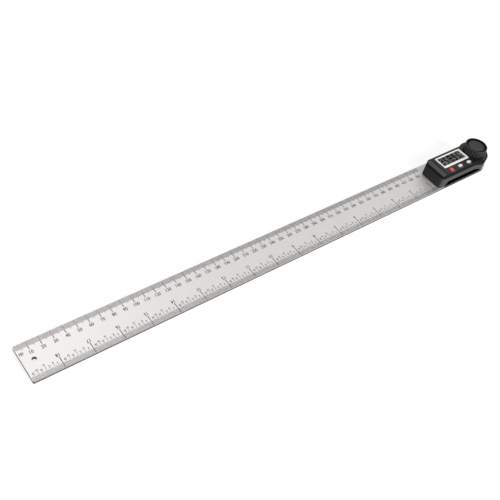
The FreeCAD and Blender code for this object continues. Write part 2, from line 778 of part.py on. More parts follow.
def buttons():
    button("power_button", POWER_X, round_outline)
    button("hold_button", HOLD_X, slot_outline)
    button("zero_button", ZERO_X, slot_outline)
    plunger("power_plunger", POWER_X)
    plunger("hold_plunger", HOLD_X)
    plunger("zero_plunger", ZERO_X)

    switches = Piece("switch_bodies", z=BOARD_TOP_Z)
    sketch = switches.sketch()
    half = size.switch_side / 2
    for x, y in BUTTON_PLACES:
        add_rectangle(sketch, x - half, y - half, x + half, y + half)
    switches.pad(sketch, size.switch_height)
    pit = PLUNGER_Z - size.button_travel - size.plunger_gap / 2 - BOARD_TOP_Z
    radius = size.plunger_radius + size.running_gap
    switches.holes(BUTTON_PLACES, radius, pit, size.switch_height - pit)


# ---------------------------------------------------------------- battery


def battery():
    """Drawer with the door that closes the left end, coin cell and two contacts."""
    drawer = Piece("battery_drawer", z=TRAY_Z)
    left = HEAD_LEFT + size.wall
    half = TRAY_HALF + size.drawer_gap
    door_low = DOOR_LOW_Z - TRAY_Z
    drawer.block(HEAD_LEFT, TRAY_Y - half, left, TRAY_Y + half, door_low, DOOR_HIGH_Z - DOOR_LOW_Z)
    tray_height = size.tray_floor + size.cell_thickness - size.tray_lip_drop
    drawer.block(left, TRAY_Y - TRAY_HALF, TRAY_RIGHT, TRAY_Y + TRAY_HALF, ZERO, tray_height)
    pocket = size.cell_radius + size.cell_gap
    drawer.holes([(CELL_X, TRAY_Y)], pocket, size.tray_floor, size.cell_thickness)

    cap = size.cell_radius - size.cell_cap_inset
    can_height = size.cell_thickness - size.cell_cap_height
    cell = Piece("coin_cell", x=PIVOT_X + CELL_X, y=PIVOT_Y + TRAY_Y, z=CELL_Z)
    cell.discs([(ZERO, ZERO)], size.cell_radius, ZERO, can_height)
    cell.discs([(ZERO, ZERO)], cap, can_height, size.cell_cap_height)

    thickness = size.contact_thickness
    leaf_x = TRAY_RIGHT + size.cell_gap
    strip_piece("battery_leaf", [
        (leaf_x, CELL_Z + thickness),
        (leaf_x + thickness, CELL_Z + thickness),
        (leaf_x + thickness, BOARD_Z - thickness),
        (leaf_x + size.contact_width, BOARD_Z - thickness),
        (leaf_x + size.contact_width, BOARD_Z),
        (leaf_x, BOARD_Z),
    ])
    touch_z = CELL_Z + size.cell_thickness + size.screw_gap
    touch = size.contact_touch
    foot_x = TRAY_RIGHT - size.contact_width
    strip_piece("battery_spring", [
        (CELL_X - touch, touch_z),
        (CELL_X + touch + thickness, touch_z),
        (foot_x, BOARD_Z - thickness),
        (TRAY_RIGHT - touch, BOARD_Z - thickness),
        (TRAY_RIGHT - touch, BOARD_Z),
        (foot_x - thickness, BOARD_Z),
        (CELL_X + touch, touch_z + thickness),
        (CELL_X - touch, touch_z + thickness),
    ])


def strip_piece(label, profile):
    """A bent metal strip: its side view padded to the strip's width."""
    strip = Piece(label)
    sketch = strip.sketch(size.contact_width / 2 - TRAY_Y, "XZ_Plane")
    add_polygon(sketch, profile)
    strip.feature("Pad", sketch, size.contact_width, reverse=True)


# ---------------------------------------------------------------- screws


def screws(label, places, level, length):
    """A group of like screws, heads down: each a head and a shank."""
    group = Piece(label, z=level)
    group.discs(places, size.screw_head_radius, ZERO, size.screw_head_height)
    group.discs(places, size.screw_radius, ZERO, length)


def all_screws():
    blade_bite = size.blade_thickness + size.floor_thickness + size.blade_boss_height
    blade_screw = blade_bite - size.boss_cap - size.screw_end_gap
    screws("blade_screws", BLADE_SCREWS, UPPER_BLADE_Z, blade_screw)
    screws("cover_screws", COVER_SCREWS, BASE_Z, BOARD_TOP_Z - BASE_Z + size.screw_bite)
    board_screw = size.screw_head_height + size.board_thickness + size.screw_bite
    screws("board_screws", BOARD_SCREWS, BOARD_Z - size.screw_head_height, board_screw)


# ---------------------------------------------------------------- lock knob


def thrust_washer():
    washer = Piece("thrust_washer", z=WASHER_Z)
    washer.discs([(ZERO, ZERO)], size.washer_radius, ZERO, size.washer_thickness)
    washer.holes([(ZERO, ZERO)], size.thread_radius + size.running_gap, ZERO, size.washer_thickness)


def lock_knob():
    """Fluted knob with a raised rim, a threaded insert and a disc in its top."""
    insert_radius = size.thread_radius + size.running_gap + size.insert_wall
    knob = Piece("lock_knob", z=KNOB_Z)
    knob.discs([(ZERO, ZERO)], size.knob_radius, ZERO, size.knob_height)
    knob.dress("Fillet", size.edge_round, flat_at(size.knob_height))
    rim_radius = size.knob_radius - size.knob_rim
    knob.holes([(ZERO, ZERO)], rim_radius, CROWN, size.knob_rim_height)
    knob.holes([(ZERO, ZERO)], insert_radius + size.screw_gap, ZERO, INSERT_HEIGHT)
    flute = knob.sketch(ZERO)
    flute_x = size.knob_radius + size.flute_radius - size.flute_depth
    add_circle(flute, flute_x, ZERO, size.flute_radius)
    cut = knob.cut_up(flute, size.knob_height)
    pattern = knob.body.newObject("PartDesign::PolarPattern", "lock_knob_flutes")
    pattern.Originals = [cut]
    pattern.Axis = (flute, ["N_Axis"])
    pattern.Angle = 360
    pattern.Occurrences = FLUTE_COUNT
    knob.body.Tip = pattern

    insert = Piece("knob_insert", z=KNOB_Z)
    insert.discs([(ZERO, ZERO)], insert_radius, ZERO, INSERT_HEIGHT)
    insert.holes([(ZERO, ZERO)], size.thread_radius + size.running_gap, ZERO, INSERT_HEIGHT)

    cap = Piece("knob_cap", z=KNOB_Z + CROWN)
    cap_height = size.knob_rim_height - size.cap_sink
    cap.discs([(ZERO, ZERO)], rim_radius - size.screw_gap, ZERO, cap_height)


def check_and_write():
    """Stop on any failed object or bad shape, then write each sub-part to its own file."""
    doc.recompute()
    for item in doc.Objects:
        if "Invalid" in item.State or "Error" in item.State:
            raise RuntimeError(f"{item.Label} did not compute: {item.State}")
    bodies = [item for item in doc.Objects if item.TypeId == "PartDesign::Body"]
    for item in bodies:
        if item.Shape.isNull() or not item.Shape.isValid():
            raise RuntimeError(f"{item.Label} has no valid shape")
    os.makedirs("parts", exist_ok=True)
    for item in bodies:
        item.Shape.exportStep(os.path.join("parts", item.Label + ".step"))
        box = item.Shape.BoundBox
        print(f"{item.Label}: {len(item.Shape.Solids)} solid(s), {item.Shape.Volume:.1f} mm3, "
              f"{box.XLength:.2f} x {box.YLength:.2f} x {box.ZLength:.2f}")


lower_blade()
upper_blade()
pivot_stud()
slip_washer()
pivot_bush()
encoder_rotor()
retaining_ring()
housing_base()
housing_cover()
face_plate()
display()
boards()
buttons()
battery()
all_screws()
thrust_washer()
lock_knob()
check_and_write()
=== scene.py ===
"""Looks of a digital angle finder with two stacked steel arms.

X runs along the arms towards the pivot, Y across them towards the millimetre edge and Z up.
All sizes are in metres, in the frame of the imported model.
"""

import math

import bmesh
import bpy
from bpy.props import FloatProperty, FloatVectorProperty, PointerProperty
from mathutils import Euler, Matrix, Vector


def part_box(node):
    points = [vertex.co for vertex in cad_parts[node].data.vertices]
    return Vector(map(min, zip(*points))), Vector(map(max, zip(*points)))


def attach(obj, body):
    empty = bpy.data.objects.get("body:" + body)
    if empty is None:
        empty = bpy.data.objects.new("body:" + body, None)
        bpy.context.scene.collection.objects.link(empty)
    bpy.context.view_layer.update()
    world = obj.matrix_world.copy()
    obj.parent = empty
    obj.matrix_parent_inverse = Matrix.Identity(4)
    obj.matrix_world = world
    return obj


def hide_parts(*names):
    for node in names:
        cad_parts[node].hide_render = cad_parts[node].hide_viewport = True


bl_info = {
    "name": "Digital angle finder",
    "version": (1, 0, 0),
    "blender": (4, 5, 0),
    "location": "3D View > Sidebar > Angle finder",
    "description": "Builds the visible pieces and finishes of a digital angle finder",
    "category": "Object",
}

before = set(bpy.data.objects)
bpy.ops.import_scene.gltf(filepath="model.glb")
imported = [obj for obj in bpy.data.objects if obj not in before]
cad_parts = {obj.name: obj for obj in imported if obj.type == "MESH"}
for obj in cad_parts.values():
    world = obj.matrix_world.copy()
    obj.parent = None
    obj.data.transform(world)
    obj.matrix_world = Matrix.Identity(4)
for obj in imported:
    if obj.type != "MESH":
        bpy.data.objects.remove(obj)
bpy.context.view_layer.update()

MM = 0.001
INCH = 0.0254

# a gap, step or radius that only keeps one face or point off another
HAIR = 0.02 * MM
# half the width of a change of colour that should look sharp
SHARP = 0.01 * MM
# faces that meet at more than this angle keep a sharp edge
CREASE = math.radians(35)

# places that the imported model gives
ARM_LOW, ARM_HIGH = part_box("upper_blade")
LOWER_ARM_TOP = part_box("lower_blade")[1].z
HEAD_LOW, HEAD_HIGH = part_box("housing_cover")
KNOB_LOW, KNOB_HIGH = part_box("lock_knob")
FRAME_LOW, FRAME_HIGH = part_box("display_bezel")
WINDOW_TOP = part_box("display_lens")[1].z
GLASS_LOW, GLASS_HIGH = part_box("display_panel")
PIVOT = (KNOB_LOW + KNOB_HIGH) / 2
FREE_END = ARM_LOW.x
NEAR_EDGE = ARM_LOW.y
FAR_EDGE = ARM_HIGH.y
FACE_TOP = HEAD_HIGH.z

# the near wall of the lower shell, and the finger grip sunk into it
NEAR_WALL = PIVOT.y - 13.2 * MM
GRIP_LOW = Vector((HEAD_LOW.x + 7.0 * MM, NEAR_WALL + 0.1 * MM, ARM_HIGH.z))
GRIP_HIGH = Vector((PIVOT.x + 7.25 * MM, NEAR_WALL + 1.8 * MM, ARM_HIGH.z + 6.15 * MM))
# how softly the painted shadow of the grip on the arms' near sides fades past the grip's two ends
GRIP_SHADOW_SOFT = (3 * MM, SHARP, SHARP)
# painted light: the paler band of the lower shell above the grip, where light falls on the near
# wall, and how softly it ends
LIT_BAND_LOW = Vector((HEAD_LOW.x + 0.6 * MM, HEAD_LOW.y - 3 * MM, ARM_HIGH.z - 3 * MM))
LIT_BAND_HIGH = Vector((HEAD_HIGH.x + 3 * MM, PIVOT.y - 6.0 * MM, HEAD_LOW.z + 2 * MM))
LIT_BAND_SOFT = (1.2 * MM, 2.5 * MM, 1.2 * MM)
# painted light: the sloping end of the upper shell is paler, as it faces up into the light
LIT_BEVEL_LOW = Vector((HEAD_LOW.x + 0.2 * MM, PIVOT.y - 12.2 * MM, FACE_TOP - 1.3 * MM))
LIT_BEVEL_HIGH = Vector((HEAD_LOW.x + 5.0 * MM, PIVOT.y + 12.2 * MM, FACE_TOP + MM))

# every material by its short name, filled before the first piece is made
FINISHES = {}


# ---------------------------------------------------------------- sizes and colours


def length(name, text, millimetres):
    """A length that a user can change, given here in millimetres."""
    return FloatProperty(name=name, description=text, default=millimetres * MM,
                         unit="LENGTH", precision=5)


def linear(code):
    """Turn an sRGB hex colour into linear red, green and blue."""
    channels = [int(code[place:place + 2], 16) / 255 for place in (1, 3, 5)]
    return [c / 12.92 if c <= 0.04045 else ((c + 0.055) / 1.055) ** 2.4 for c in channels]


def colour(name, text, code):
    """A colour that a user can change."""
    return FloatVectorProperty(name=name, description=text, subtype="COLOR", size=3,
                               min=0, max=1, default=linear(code))


class ScaleSizes(bpy.types.PropertyGroup):
    line_height: length("Line height", "How far the filled lines stand above the steel", 0.02)
    metric_width: length("Millimetre line width", "Width of the lines of the metric scale", 0.42)
    metric_bold: length("Ten line width", "Width of each tenth line of the metric scale", 0.55)
    metric_single: length("Millimetre line", "Length of the single millimetre lines", 4.9)
    metric_five: length("Five line", "Length of the five millimetre lines", 6.0)
    metric_ten: length("Ten line", "Length of the ten millimetre lines", 8.2)
    metric_word: length("Metric numeral height", "Height of the metric numerals", 3.1)
    metric_row: length("Metric numeral row", "Middle of the numerals from the far edge", 10.9)
    unit_row: length("Unit mark row", "Middle of the unit mark from the far edge", 9.5)
    inch_width: length("Inch line width", "Width of the lines of the inch scale", 0.31)
    inch_bold: length("Whole inch line width", "Width of the whole inch lines", 0.6)
    inch_part: length("Thirty-second line", "Length of the 1/32 inch lines", 3.7)
    inch_sixteenth: length("Sixteenth line", "Length of the 1/16 inch lines", 4.5)
    inch_eighth: length("Eighth line", "Length of the 1/8 inch lines", 5.2)
    inch_quarter: length("Quarter line", "Length of the 1/4 inch lines", 6.7)
    inch_half: length("Half inch line", "Length of the 1/2 inch lines", 8.1)
    inch_whole: length("Inch line", "Length of the whole inch lines", 10.0)
    inch_word: length("Inch numeral height", "Height of the inch numerals", 3.1)
    inch_row: length("Inch numeral row", "Middle of the numerals from the near edge", 12.1)
    part_word: length("Fraction numeral height", "Height of the numerals of the 32nds", 1.8)
    part_gap: length("Fraction numeral gap", "From the end of a line to its numeral's middle", 1.2)


class HeadSizes(bpy.types.PropertyGroup):
    digit_height: length("Digit height", "Height of the digits of the display", 9.3)
    digit_width: length("Digit width", "Width of the digits of the display", 4.4)
    digit_pitch: length("Digit pitch", "Distance from digit to digit", 6.15)
    stroke: length("Digit stroke", "Width of one bar of a digit", 1.7)
    label_height: length("Label height", "Height of the words beside the buttons", 1.1)
    flute_depth: length("Flute depth", "Depth of the grip flutes of the lock knob", 0.75)
    rim_width: length("Rim width", "Width of the rim round the top of the lock knob", 1.45)
    # the black ring is painted shade on the inner wall of the knob's top
    ring_width: length("Ring width", "Width of the black ring inside the rim", 1.5)
    dish_depth: length("Dish depth", "Depth of the disc below the rim of the lock knob", 0.9)
    frame_left: length("Frame, left band", "Width of the white frame on the left", 1.5)
    frame_right: length("Frame, right band", "Width of the white frame on the right", 1.9)
    frame_near: length("Frame, near band", "Width of the white frame on the near side", 2.6)
    frame_far: length("Frame, far band", "Width of the white frame on the far side", 1.0)
    edge: length("Rim edge", "Rounding of the inner edge of the lock knob's rim", 0.35)


class Finishes(bpy.types.PropertyGroup):
    steel: colour("Steel", "Ground stainless steel of the arms", "#CECBCA")
    # painted shade: the long sides are darker than the top, as less light falls on them
    side: colour("Ground side", "Long sides of the upper arm", "#B2AFAC")
    # painted shade: the lower arm's sides are darker still, for the contact shadow near the floor
    lower_side: colour("Lower ground side", "Long sides of the lower arm", "#4F4D4B")
    # painted shadow: the near sides of the arms under the grip, where the head shades them
    under_grip: colour("Side under the grip", "Near sides of the arms under the grip", "#3C3B3A")
    # partly real and partly painted shade: a dull cut edge, darkened further as painted shade
    sheared: colour("Sheared edge", "Cut ends of the arms", "#4B4846")
    ink: colour("Line filling", "Black paint in the etched lines", "#1B1918")
    shell: colour("Lower shell", "Moulded plastic of the lower shell", "#393939")
    # painted light: the near wall above the grip is painted paler, for the light from the near
    # side
    band: colour("Grip band", "Paler band of the lower shell above the finger grip", "#5C5C5C")
    # painted shade: the grip's recess is near-black, as if deep in shadow
    grip: colour("Finger grip", "Recess in the near wall of the lower shell", "#050505")
    cover: colour("Upper shell", "Moulded plastic of the upper shell", "#272728")
    # painted light: the sloping end faces up and is painted paler
    bevel: colour("Sloping end", "Paler sloping end of the upper shell", "#4E4E4E")
    face: colour("Face plate", "Gloss plate of the head", "#161617")
    white: colour("White plastic", "Plastic of the display frame", "#E9E9E6")
    key: colour("White buttons", "Plastic of the two white buttons", "#D2D1CE")
    red: colour("Red button", "Plastic of the power button", "#E8373B")
    knob: colour("Knob", "Moulded plastic of the lock knob", "#303030")
    disc: colour("Knob disc", "Disc in the top of the lock knob", "#2E2E2E")
    glass: colour("Display glass", "Grey-green glass of the display", "#5B605A")


# ---------------------------------------------------------------- helpers


def add(tree, kind, inputs=None, **settings):
    """Add a node, set its properties, then set or link its inputs."""
    node = tree.nodes.new(kind)
    for name, value in settings.items():
        setattr(node, name, value)
    for socket, value in (inputs or {}).items():
        if isinstance(value, bpy.types.NodeSocket):
            tree.links.new(value, node.inputs[socket])
        else:
            node.inputs[socket].default_value = value
    return node


def piece(name, mesh, body, finish, replaced=(), smooth=True):
    """Make one object of a finished mesh and seat it on the body that carries it."""
    item = bpy.data.objects.new(name, mesh)
    bpy.context.scene.collection.objects.link(item)
    mesh.materials.clear()
    mesh.materials.append(FINISHES[finish])
    for polygon in mesh.polygons:
        polygon.use_smooth = smooth
    if smooth:
        mesh.set_sharp_from_angle(angle=CREASE)
    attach(item, body)
    if replaced:
        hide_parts(*replaced)


def finish_nodes(**nodes):
    """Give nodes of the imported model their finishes, each by its short name."""
    for node, finish in nodes.items():
        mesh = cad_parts[node].data
        mesh.materials.clear()
        mesh.materials.append(FINISHES[finish])


def stack(shape, rings, hollow=False):
    """Add a wall over rings with the same number of points, and close its two ends.

    The ends of a hollow one, such as a frame, are joined to each other instead."""
    rows = [[shape.verts.new(point) for point in ring] for ring in rings]
    if hollow:
        rows.append(rows[0])
    for low, high in zip(rows, rows[1:]):
        for index, corner in enumerate(low):
            following = (index + 1) % len(low)
            shape.faces.new((corner, low[following], high[following], high[index]))
    if not hollow:
        shape.faces.new(rows[0][::-1])
        shape.faces.new(rows[-1])


def plain_mesh(shape, name):
    """Turn a finished shape into a mesh."""
    mesh = bpy.data.meshes.new(name)
    shape.to_mesh(mesh)
    shape.free()
    return mesh


def loft(rings, hollow=False):
    """Make a closed mesh over one stack of rings."""
    shape = bmesh.new()
    stack(shape, rings, hollow)
    if hollow:
        bmesh.ops.recalc_face_normals(shape, faces=shape.faces)
    return plain_mesh(shape, "loft")


def circle(centre, radius, z, steps):
    """Points of a circle."""
    turns = [2 * math.pi * step / steps for step in range(steps)]
    return [Vector((centre.x + radius * math.cos(turn), centre.y + radius * math.sin(turn), z))
            for turn in turns]


def turned(profile, centre, steps=96):
    """Rings of a profile of (radius, height) pairs, turned about an upright axis."""
    return [circle(centre, radius, z, steps) for radius, z in profile]


def slot_ring(centre, reach, radius, z, steps=48):
    """Points of an outline with two round ends; a reach of 0 makes it a circle."""
    points = []
    for step in range(steps):
        angle = 2 * math.pi * (step + 0.5) / steps
        end = centre.x + math.copysign(reach, math.cos(angle))
        points.append(Vector((end + radius * math.cos(angle),
                              centre.y + radius * math.sin(angle), z)))
    return points


def box_ring(low, high, corner, z, inset=0.0, steps=6):
    """Points of a rectangle with rounded corners, moved inwards by an inset."""
    corner = max(corner - inset, HAIR)
    left, right = low.x + inset + corner, high.x - inset - corner
    near, far = low.y + inset + corner, high.y - inset - corner
    points = []
    for number, (x, y) in enumerate(((right, far), (left, far), (left, near), (right, near))):
        for step in range(steps + 1):
            angle = math.pi / 2 * (number + step / steps)
            points.append(Vector((x + corner * math.cos(angle), y + corner * math.sin(angle), z)))
    return points


class Lettering:
    """Words and signs cut as thin solid letters and gathered into one mesh."""

    # height of the font's numerals as a share of its size
    NUMERAL = 0.69
    # points that are nearer than this are one
    SEAM = 0.0001 * MM

    def __init__(self, thickness, bold=0.0):
        self.thickness = thickness
        self.bold = bold
        self.shape = bmesh.new()
        self.words = {}

    def cut(self, word):
        """Letters of a word as a mesh of the font's own size, made once for each word."""
        if word not in self.words:
            curve = bpy.data.curves.new("word", "FONT")
            curve.body = word
            curve.align_x = "CENTER"
            curve.align_y = "CENTER"
            curve.extrude = 0.5
            curve.bevel_depth = self.bold
            curve.bevel_resolution = 0
            curve.resolution_u = 2
            holder = bpy.data.objects.new("word", curve)
            bpy.context.scene.collection.objects.link(holder)
            ready = holder.evaluated_get(bpy.context.evaluated_depsgraph_get())
            self.words[word] = bpy.data.meshes.new_from_object(ready)
            bpy.data.objects.remove(holder)
            bpy.data.curves.remove(curve)
        return self.words[word]

    def add(self, word, place, height, upside_down=False, narrow=1.0):
        """Add a word by its middle, sunk into the surface by half of its thickness."""
        size = height / self.NUMERAL
        turn = Matrix.Rotation(math.pi if upside_down else 0.0, 4, "Z")
        scale = Matrix.Diagonal((size * narrow, size, self.thickness, 1))
        copy = self.cut(word).copy()
        copy.transform(Matrix.Translation(place) @ turn @ scale)
        self.shape.from_mesh(copy)
        bpy.data.meshes.remove(copy)

    def finish(self):
        """Close the seams of the letters and return them all as one mesh."""
        bmesh.ops.remove_doubles(self.shape, verts=self.shape.verts, dist=self.SEAM)
        for word in self.words.values():
            bpy.data.meshes.remove(word)
        return plain_mesh(self.shape, "lettering")


def start_tree(name, *inputs):
    """Start a Geometry Nodes tree, with a name, a kind and a default for each input.

    Return it with the outputs of its Group Input. Every tree also takes a mesh and a material."""
    tree = bpy.data.node_groups.new(name, "GeometryNodeTree")
    tree.interface.new_socket("Geometry", in_out="OUTPUT", socket_type="NodeSocketGeometry")
    for title, kind, default in (("Geometry", "Geometry", None), *inputs,
                                 ("Material", "Material", None)):
        item = tree.interface.new_socket(title, in_out="INPUT", socket_type=f"NodeSocket{kind}")
        if default is not None:
            item.default_value = default
    return tree, add(tree, "NodeGroupInput").outputs


def end_tree(tree, given, geometry):
    """End a tree: its copies are made real and get the material that it is given."""
    real = add(tree, "GeometryNodeRealizeInstances", {"Geometry": geometry})
    dressed = add(tree, "GeometryNodeSetMaterial",
                  {"Geometry": real.outputs["Geometry"], "Material": given["Material"]})
    add(tree, "NodeGroupOutput", {"Geometry": dressed.outputs["Geometry"]})
    return tree


def grow(tree, values, start=None):
    """Run a Geometry Nodes tree on its own object and return the result as a plain mesh."""
    mesh = start or bpy.data.meshes.new("start")
    holder = bpy.data.objects.new("grower", mesh)
    bpy.context.scene.collection.objects.link(holder)
    modifier = holder.modifiers.new("tree", "NODES")
    modifier.node_group = tree
    names = {item.name: item.identifier for item in tree.interface.items_tree
             if item.in_out == "INPUT"}
    for name, value in values.items():
        modifier[names[name]] = value
    holder.update_tag()
    ready = holder.evaluated_get(bpy.context.evaluated_depsgraph_get())
    grown = bpy.data.meshes.new_from_object(ready)
    holder.modifiers.remove(modifier)
    bpy.data.objects.remove(holder)
    return grown


# ---------------------------------------------------------------- finishes


# places of a Mix node's colour sockets, whose names it also uses for numbers
MIX_FIRST, MIX_SECOND, MIX_RESULT = 6, 7, 2


def surface(name, base, metallic, roughness, **others):
    """Start a material of one Principled shader; return it, its tree and the shader."""
    material = bpy.data.materials.new(name)
    material.use_nodes = True
    tree = material.node_tree
    tree.nodes.clear()
    shader = add(tree, "ShaderNodeBsdfPrincipled",
                 {"Base Color": (*base, 1), "Metallic": metallic, "Roughness": roughness,
                  **others})
    add(tree, "ShaderNodeOutputMaterial", {"Surface": shader.outputs["BSDF"]})
    return material, tree, shader


def uneven(tree, shader, count, noise, low, high, shade=0.0, relief=0.0, depth=0.0):
    """Vary a surface by a noise with a count per metre along each axis of the piece.

    The roughness then lies between two limits. Where a shade is given, the colour gets
    lighter and darker by that share, and where a depth is given, the surface is lifted."""
    place = add(tree, "ShaderNodeTexCoord")
    fine = add(tree, "ShaderNodeMapping", {"Vector": place.outputs["Object"], "Scale": count})
    spots = add(tree, "ShaderNodeTexNoise",
                {"Vector": fine.outputs["Vector"], "Scale": 1.0, **noise})
    pattern = spots.outputs["Fac"]
    gloss = add(tree, "ShaderNodeMapRange", {"Value": pattern, "To Min": low, "To Max": high})
    tree.links.new(gloss.outputs["Result"], shader.inputs["Roughness"])
    if shade:
        base = shader.inputs["Base Color"].default_value[:3]
        dark = [c * (1 - shade) for c in base]
        light = [min(1, c * (1 + shade)) for c in base]
        mixed = add(tree, "ShaderNodeMix",
                    {"Factor": pattern, MIX_FIRST: (*dark, 1), MIX_SECOND: (*light, 1)},
                    data_type="RGBA")
        tree.links.new(mixed.outputs[MIX_RESULT], shader.inputs["Base Color"])
    if depth:
        lifted = add(tree, "ShaderNodeBump",
                     {"Height": pattern, "Strength": relief, "Distance": depth})
        tree.links.new(lifted.outputs["Normal"], shader.inputs["Normal"])


def within(tree, value, low, high, soft):
    """1 between two limits and 0 beyond them, with a change as wide as twice a soft reach."""
    offset = add(tree, "ShaderNodeMath", {0: value, 1: (low + high) / 2}, operation="SUBTRACT")
    depth = add(tree, "ShaderNodeMath", {0: offset.outputs["Value"]}, operation="ABSOLUTE")
    half = (high - low) / 2
    share = add(tree, "ShaderNodeMapRange",
                {"Value": depth.outputs["Value"], "From Min": half - soft,
                 "From Max": half + soft, "To Min": 1.0, "To Max": 0.0},
                interpolation_type="SMOOTHSTEP")
    return share.outputs["Result"]


def patch(material, low, high, tint, soft=(SHARP, SHARP, SHARP)):
    """Give a box of a material another colour, softly along X, Y and Z; here it paints shade and
    light.
    """
    tree = material.node_tree
    shader = tree.nodes["Principled BSDF"]
    skin = shader.inputs["Base Color"].links[0].from_socket
    place = add(tree, "ShaderNodeTexCoord")
    parts = add(tree, "ShaderNodeSeparateXYZ", {"Vector": place.outputs["Object"]})
    along, deep, tall = [within(tree, parts.outputs[axis], low[number], high[number], soft[number])
                         for number, axis in enumerate("XYZ")]
    area = add(tree, "ShaderNodeMath", {0: along, 1: deep}, operation="MULTIPLY")
    inside = add(tree, "ShaderNodeMath", {0: area.outputs["Value"], 1: tall},
                 operation="MULTIPLY")
    mixed = add(tree, "ShaderNodeMix",
                {"Factor": inside.outputs["Value"], MIX_FIRST: skin, MIX_SECOND: (*tint, 1)},
                data_type="RGBA")
    tree.links.new(mixed.outputs[MIX_RESULT], shader.inputs["Base Color"])


def ground_steel(name, base, side, sheared, low, high):
    """Stainless steel ground along the arm. Its long sides are a little darker, as painted shade,
    and its cut ends and the wall of its hole are rough and dark: a dull cut edge with painted
    shade.

    Real grinding lines are about 0.05 mm apart; these are 1 mm, so that they show."""
    material, tree, shader = surface(name, base, 0.7, 0.55)
    uneven(tree, shader, (80.0, 1000.0, 1000.0), {"Detail": 3.0, "Roughness": 0.6}, 0.49, 0.61,
           shade=0.1, relief=0.08, depth=0.02 * MM)
    # painted shade: the long sides, the ends and the hole's wall are darker than the top
    walls = Vector((-MM, -MM, HAIR))
    patch(material, low + walls, high - walls, side)
    # the cut ends and the hole's wall: a dull cut edge with painted shade
    ends = Vector((-MM, HAIR, HAIR))
    patch(material, low + ends, high - ends, sheared)
    return material


def turned_metal(name, base, roughness):
    """Metal cut on a lathe or stamped: an even fine grain and a soft gloss.

    Real tool marks are about 0.1 mm apart; this grain is 0.7 mm, so that it shows."""
    material, tree, shader = surface(name, base, 1.0, roughness)
    uneven(tree, shader, [1500.0] * 3, {"Detail": 4.0}, roughness - 0.05, roughness + 0.08,
           shade=0.08, relief=0.05, depth=0.02 * MM)
    return material


def moulded(name, base, roughness, grain, depth, specular):
    """Plastic, paint or glass with a grain of a given size and depth.

    A real spark-eroded grain is about 0.1 mm; these start at 0.25 mm, so that they show."""
    material, tree, shader = surface(name, base, 0.0, roughness,
                                     **{"Specular IOR Level": specular})
    uneven(tree, shader, [1 / grain] * 3, {"Detail": 3.0}, roughness - 0.06, roughness + 0.06,
           shade=0.12, relief=0.25, depth=depth)
    return material


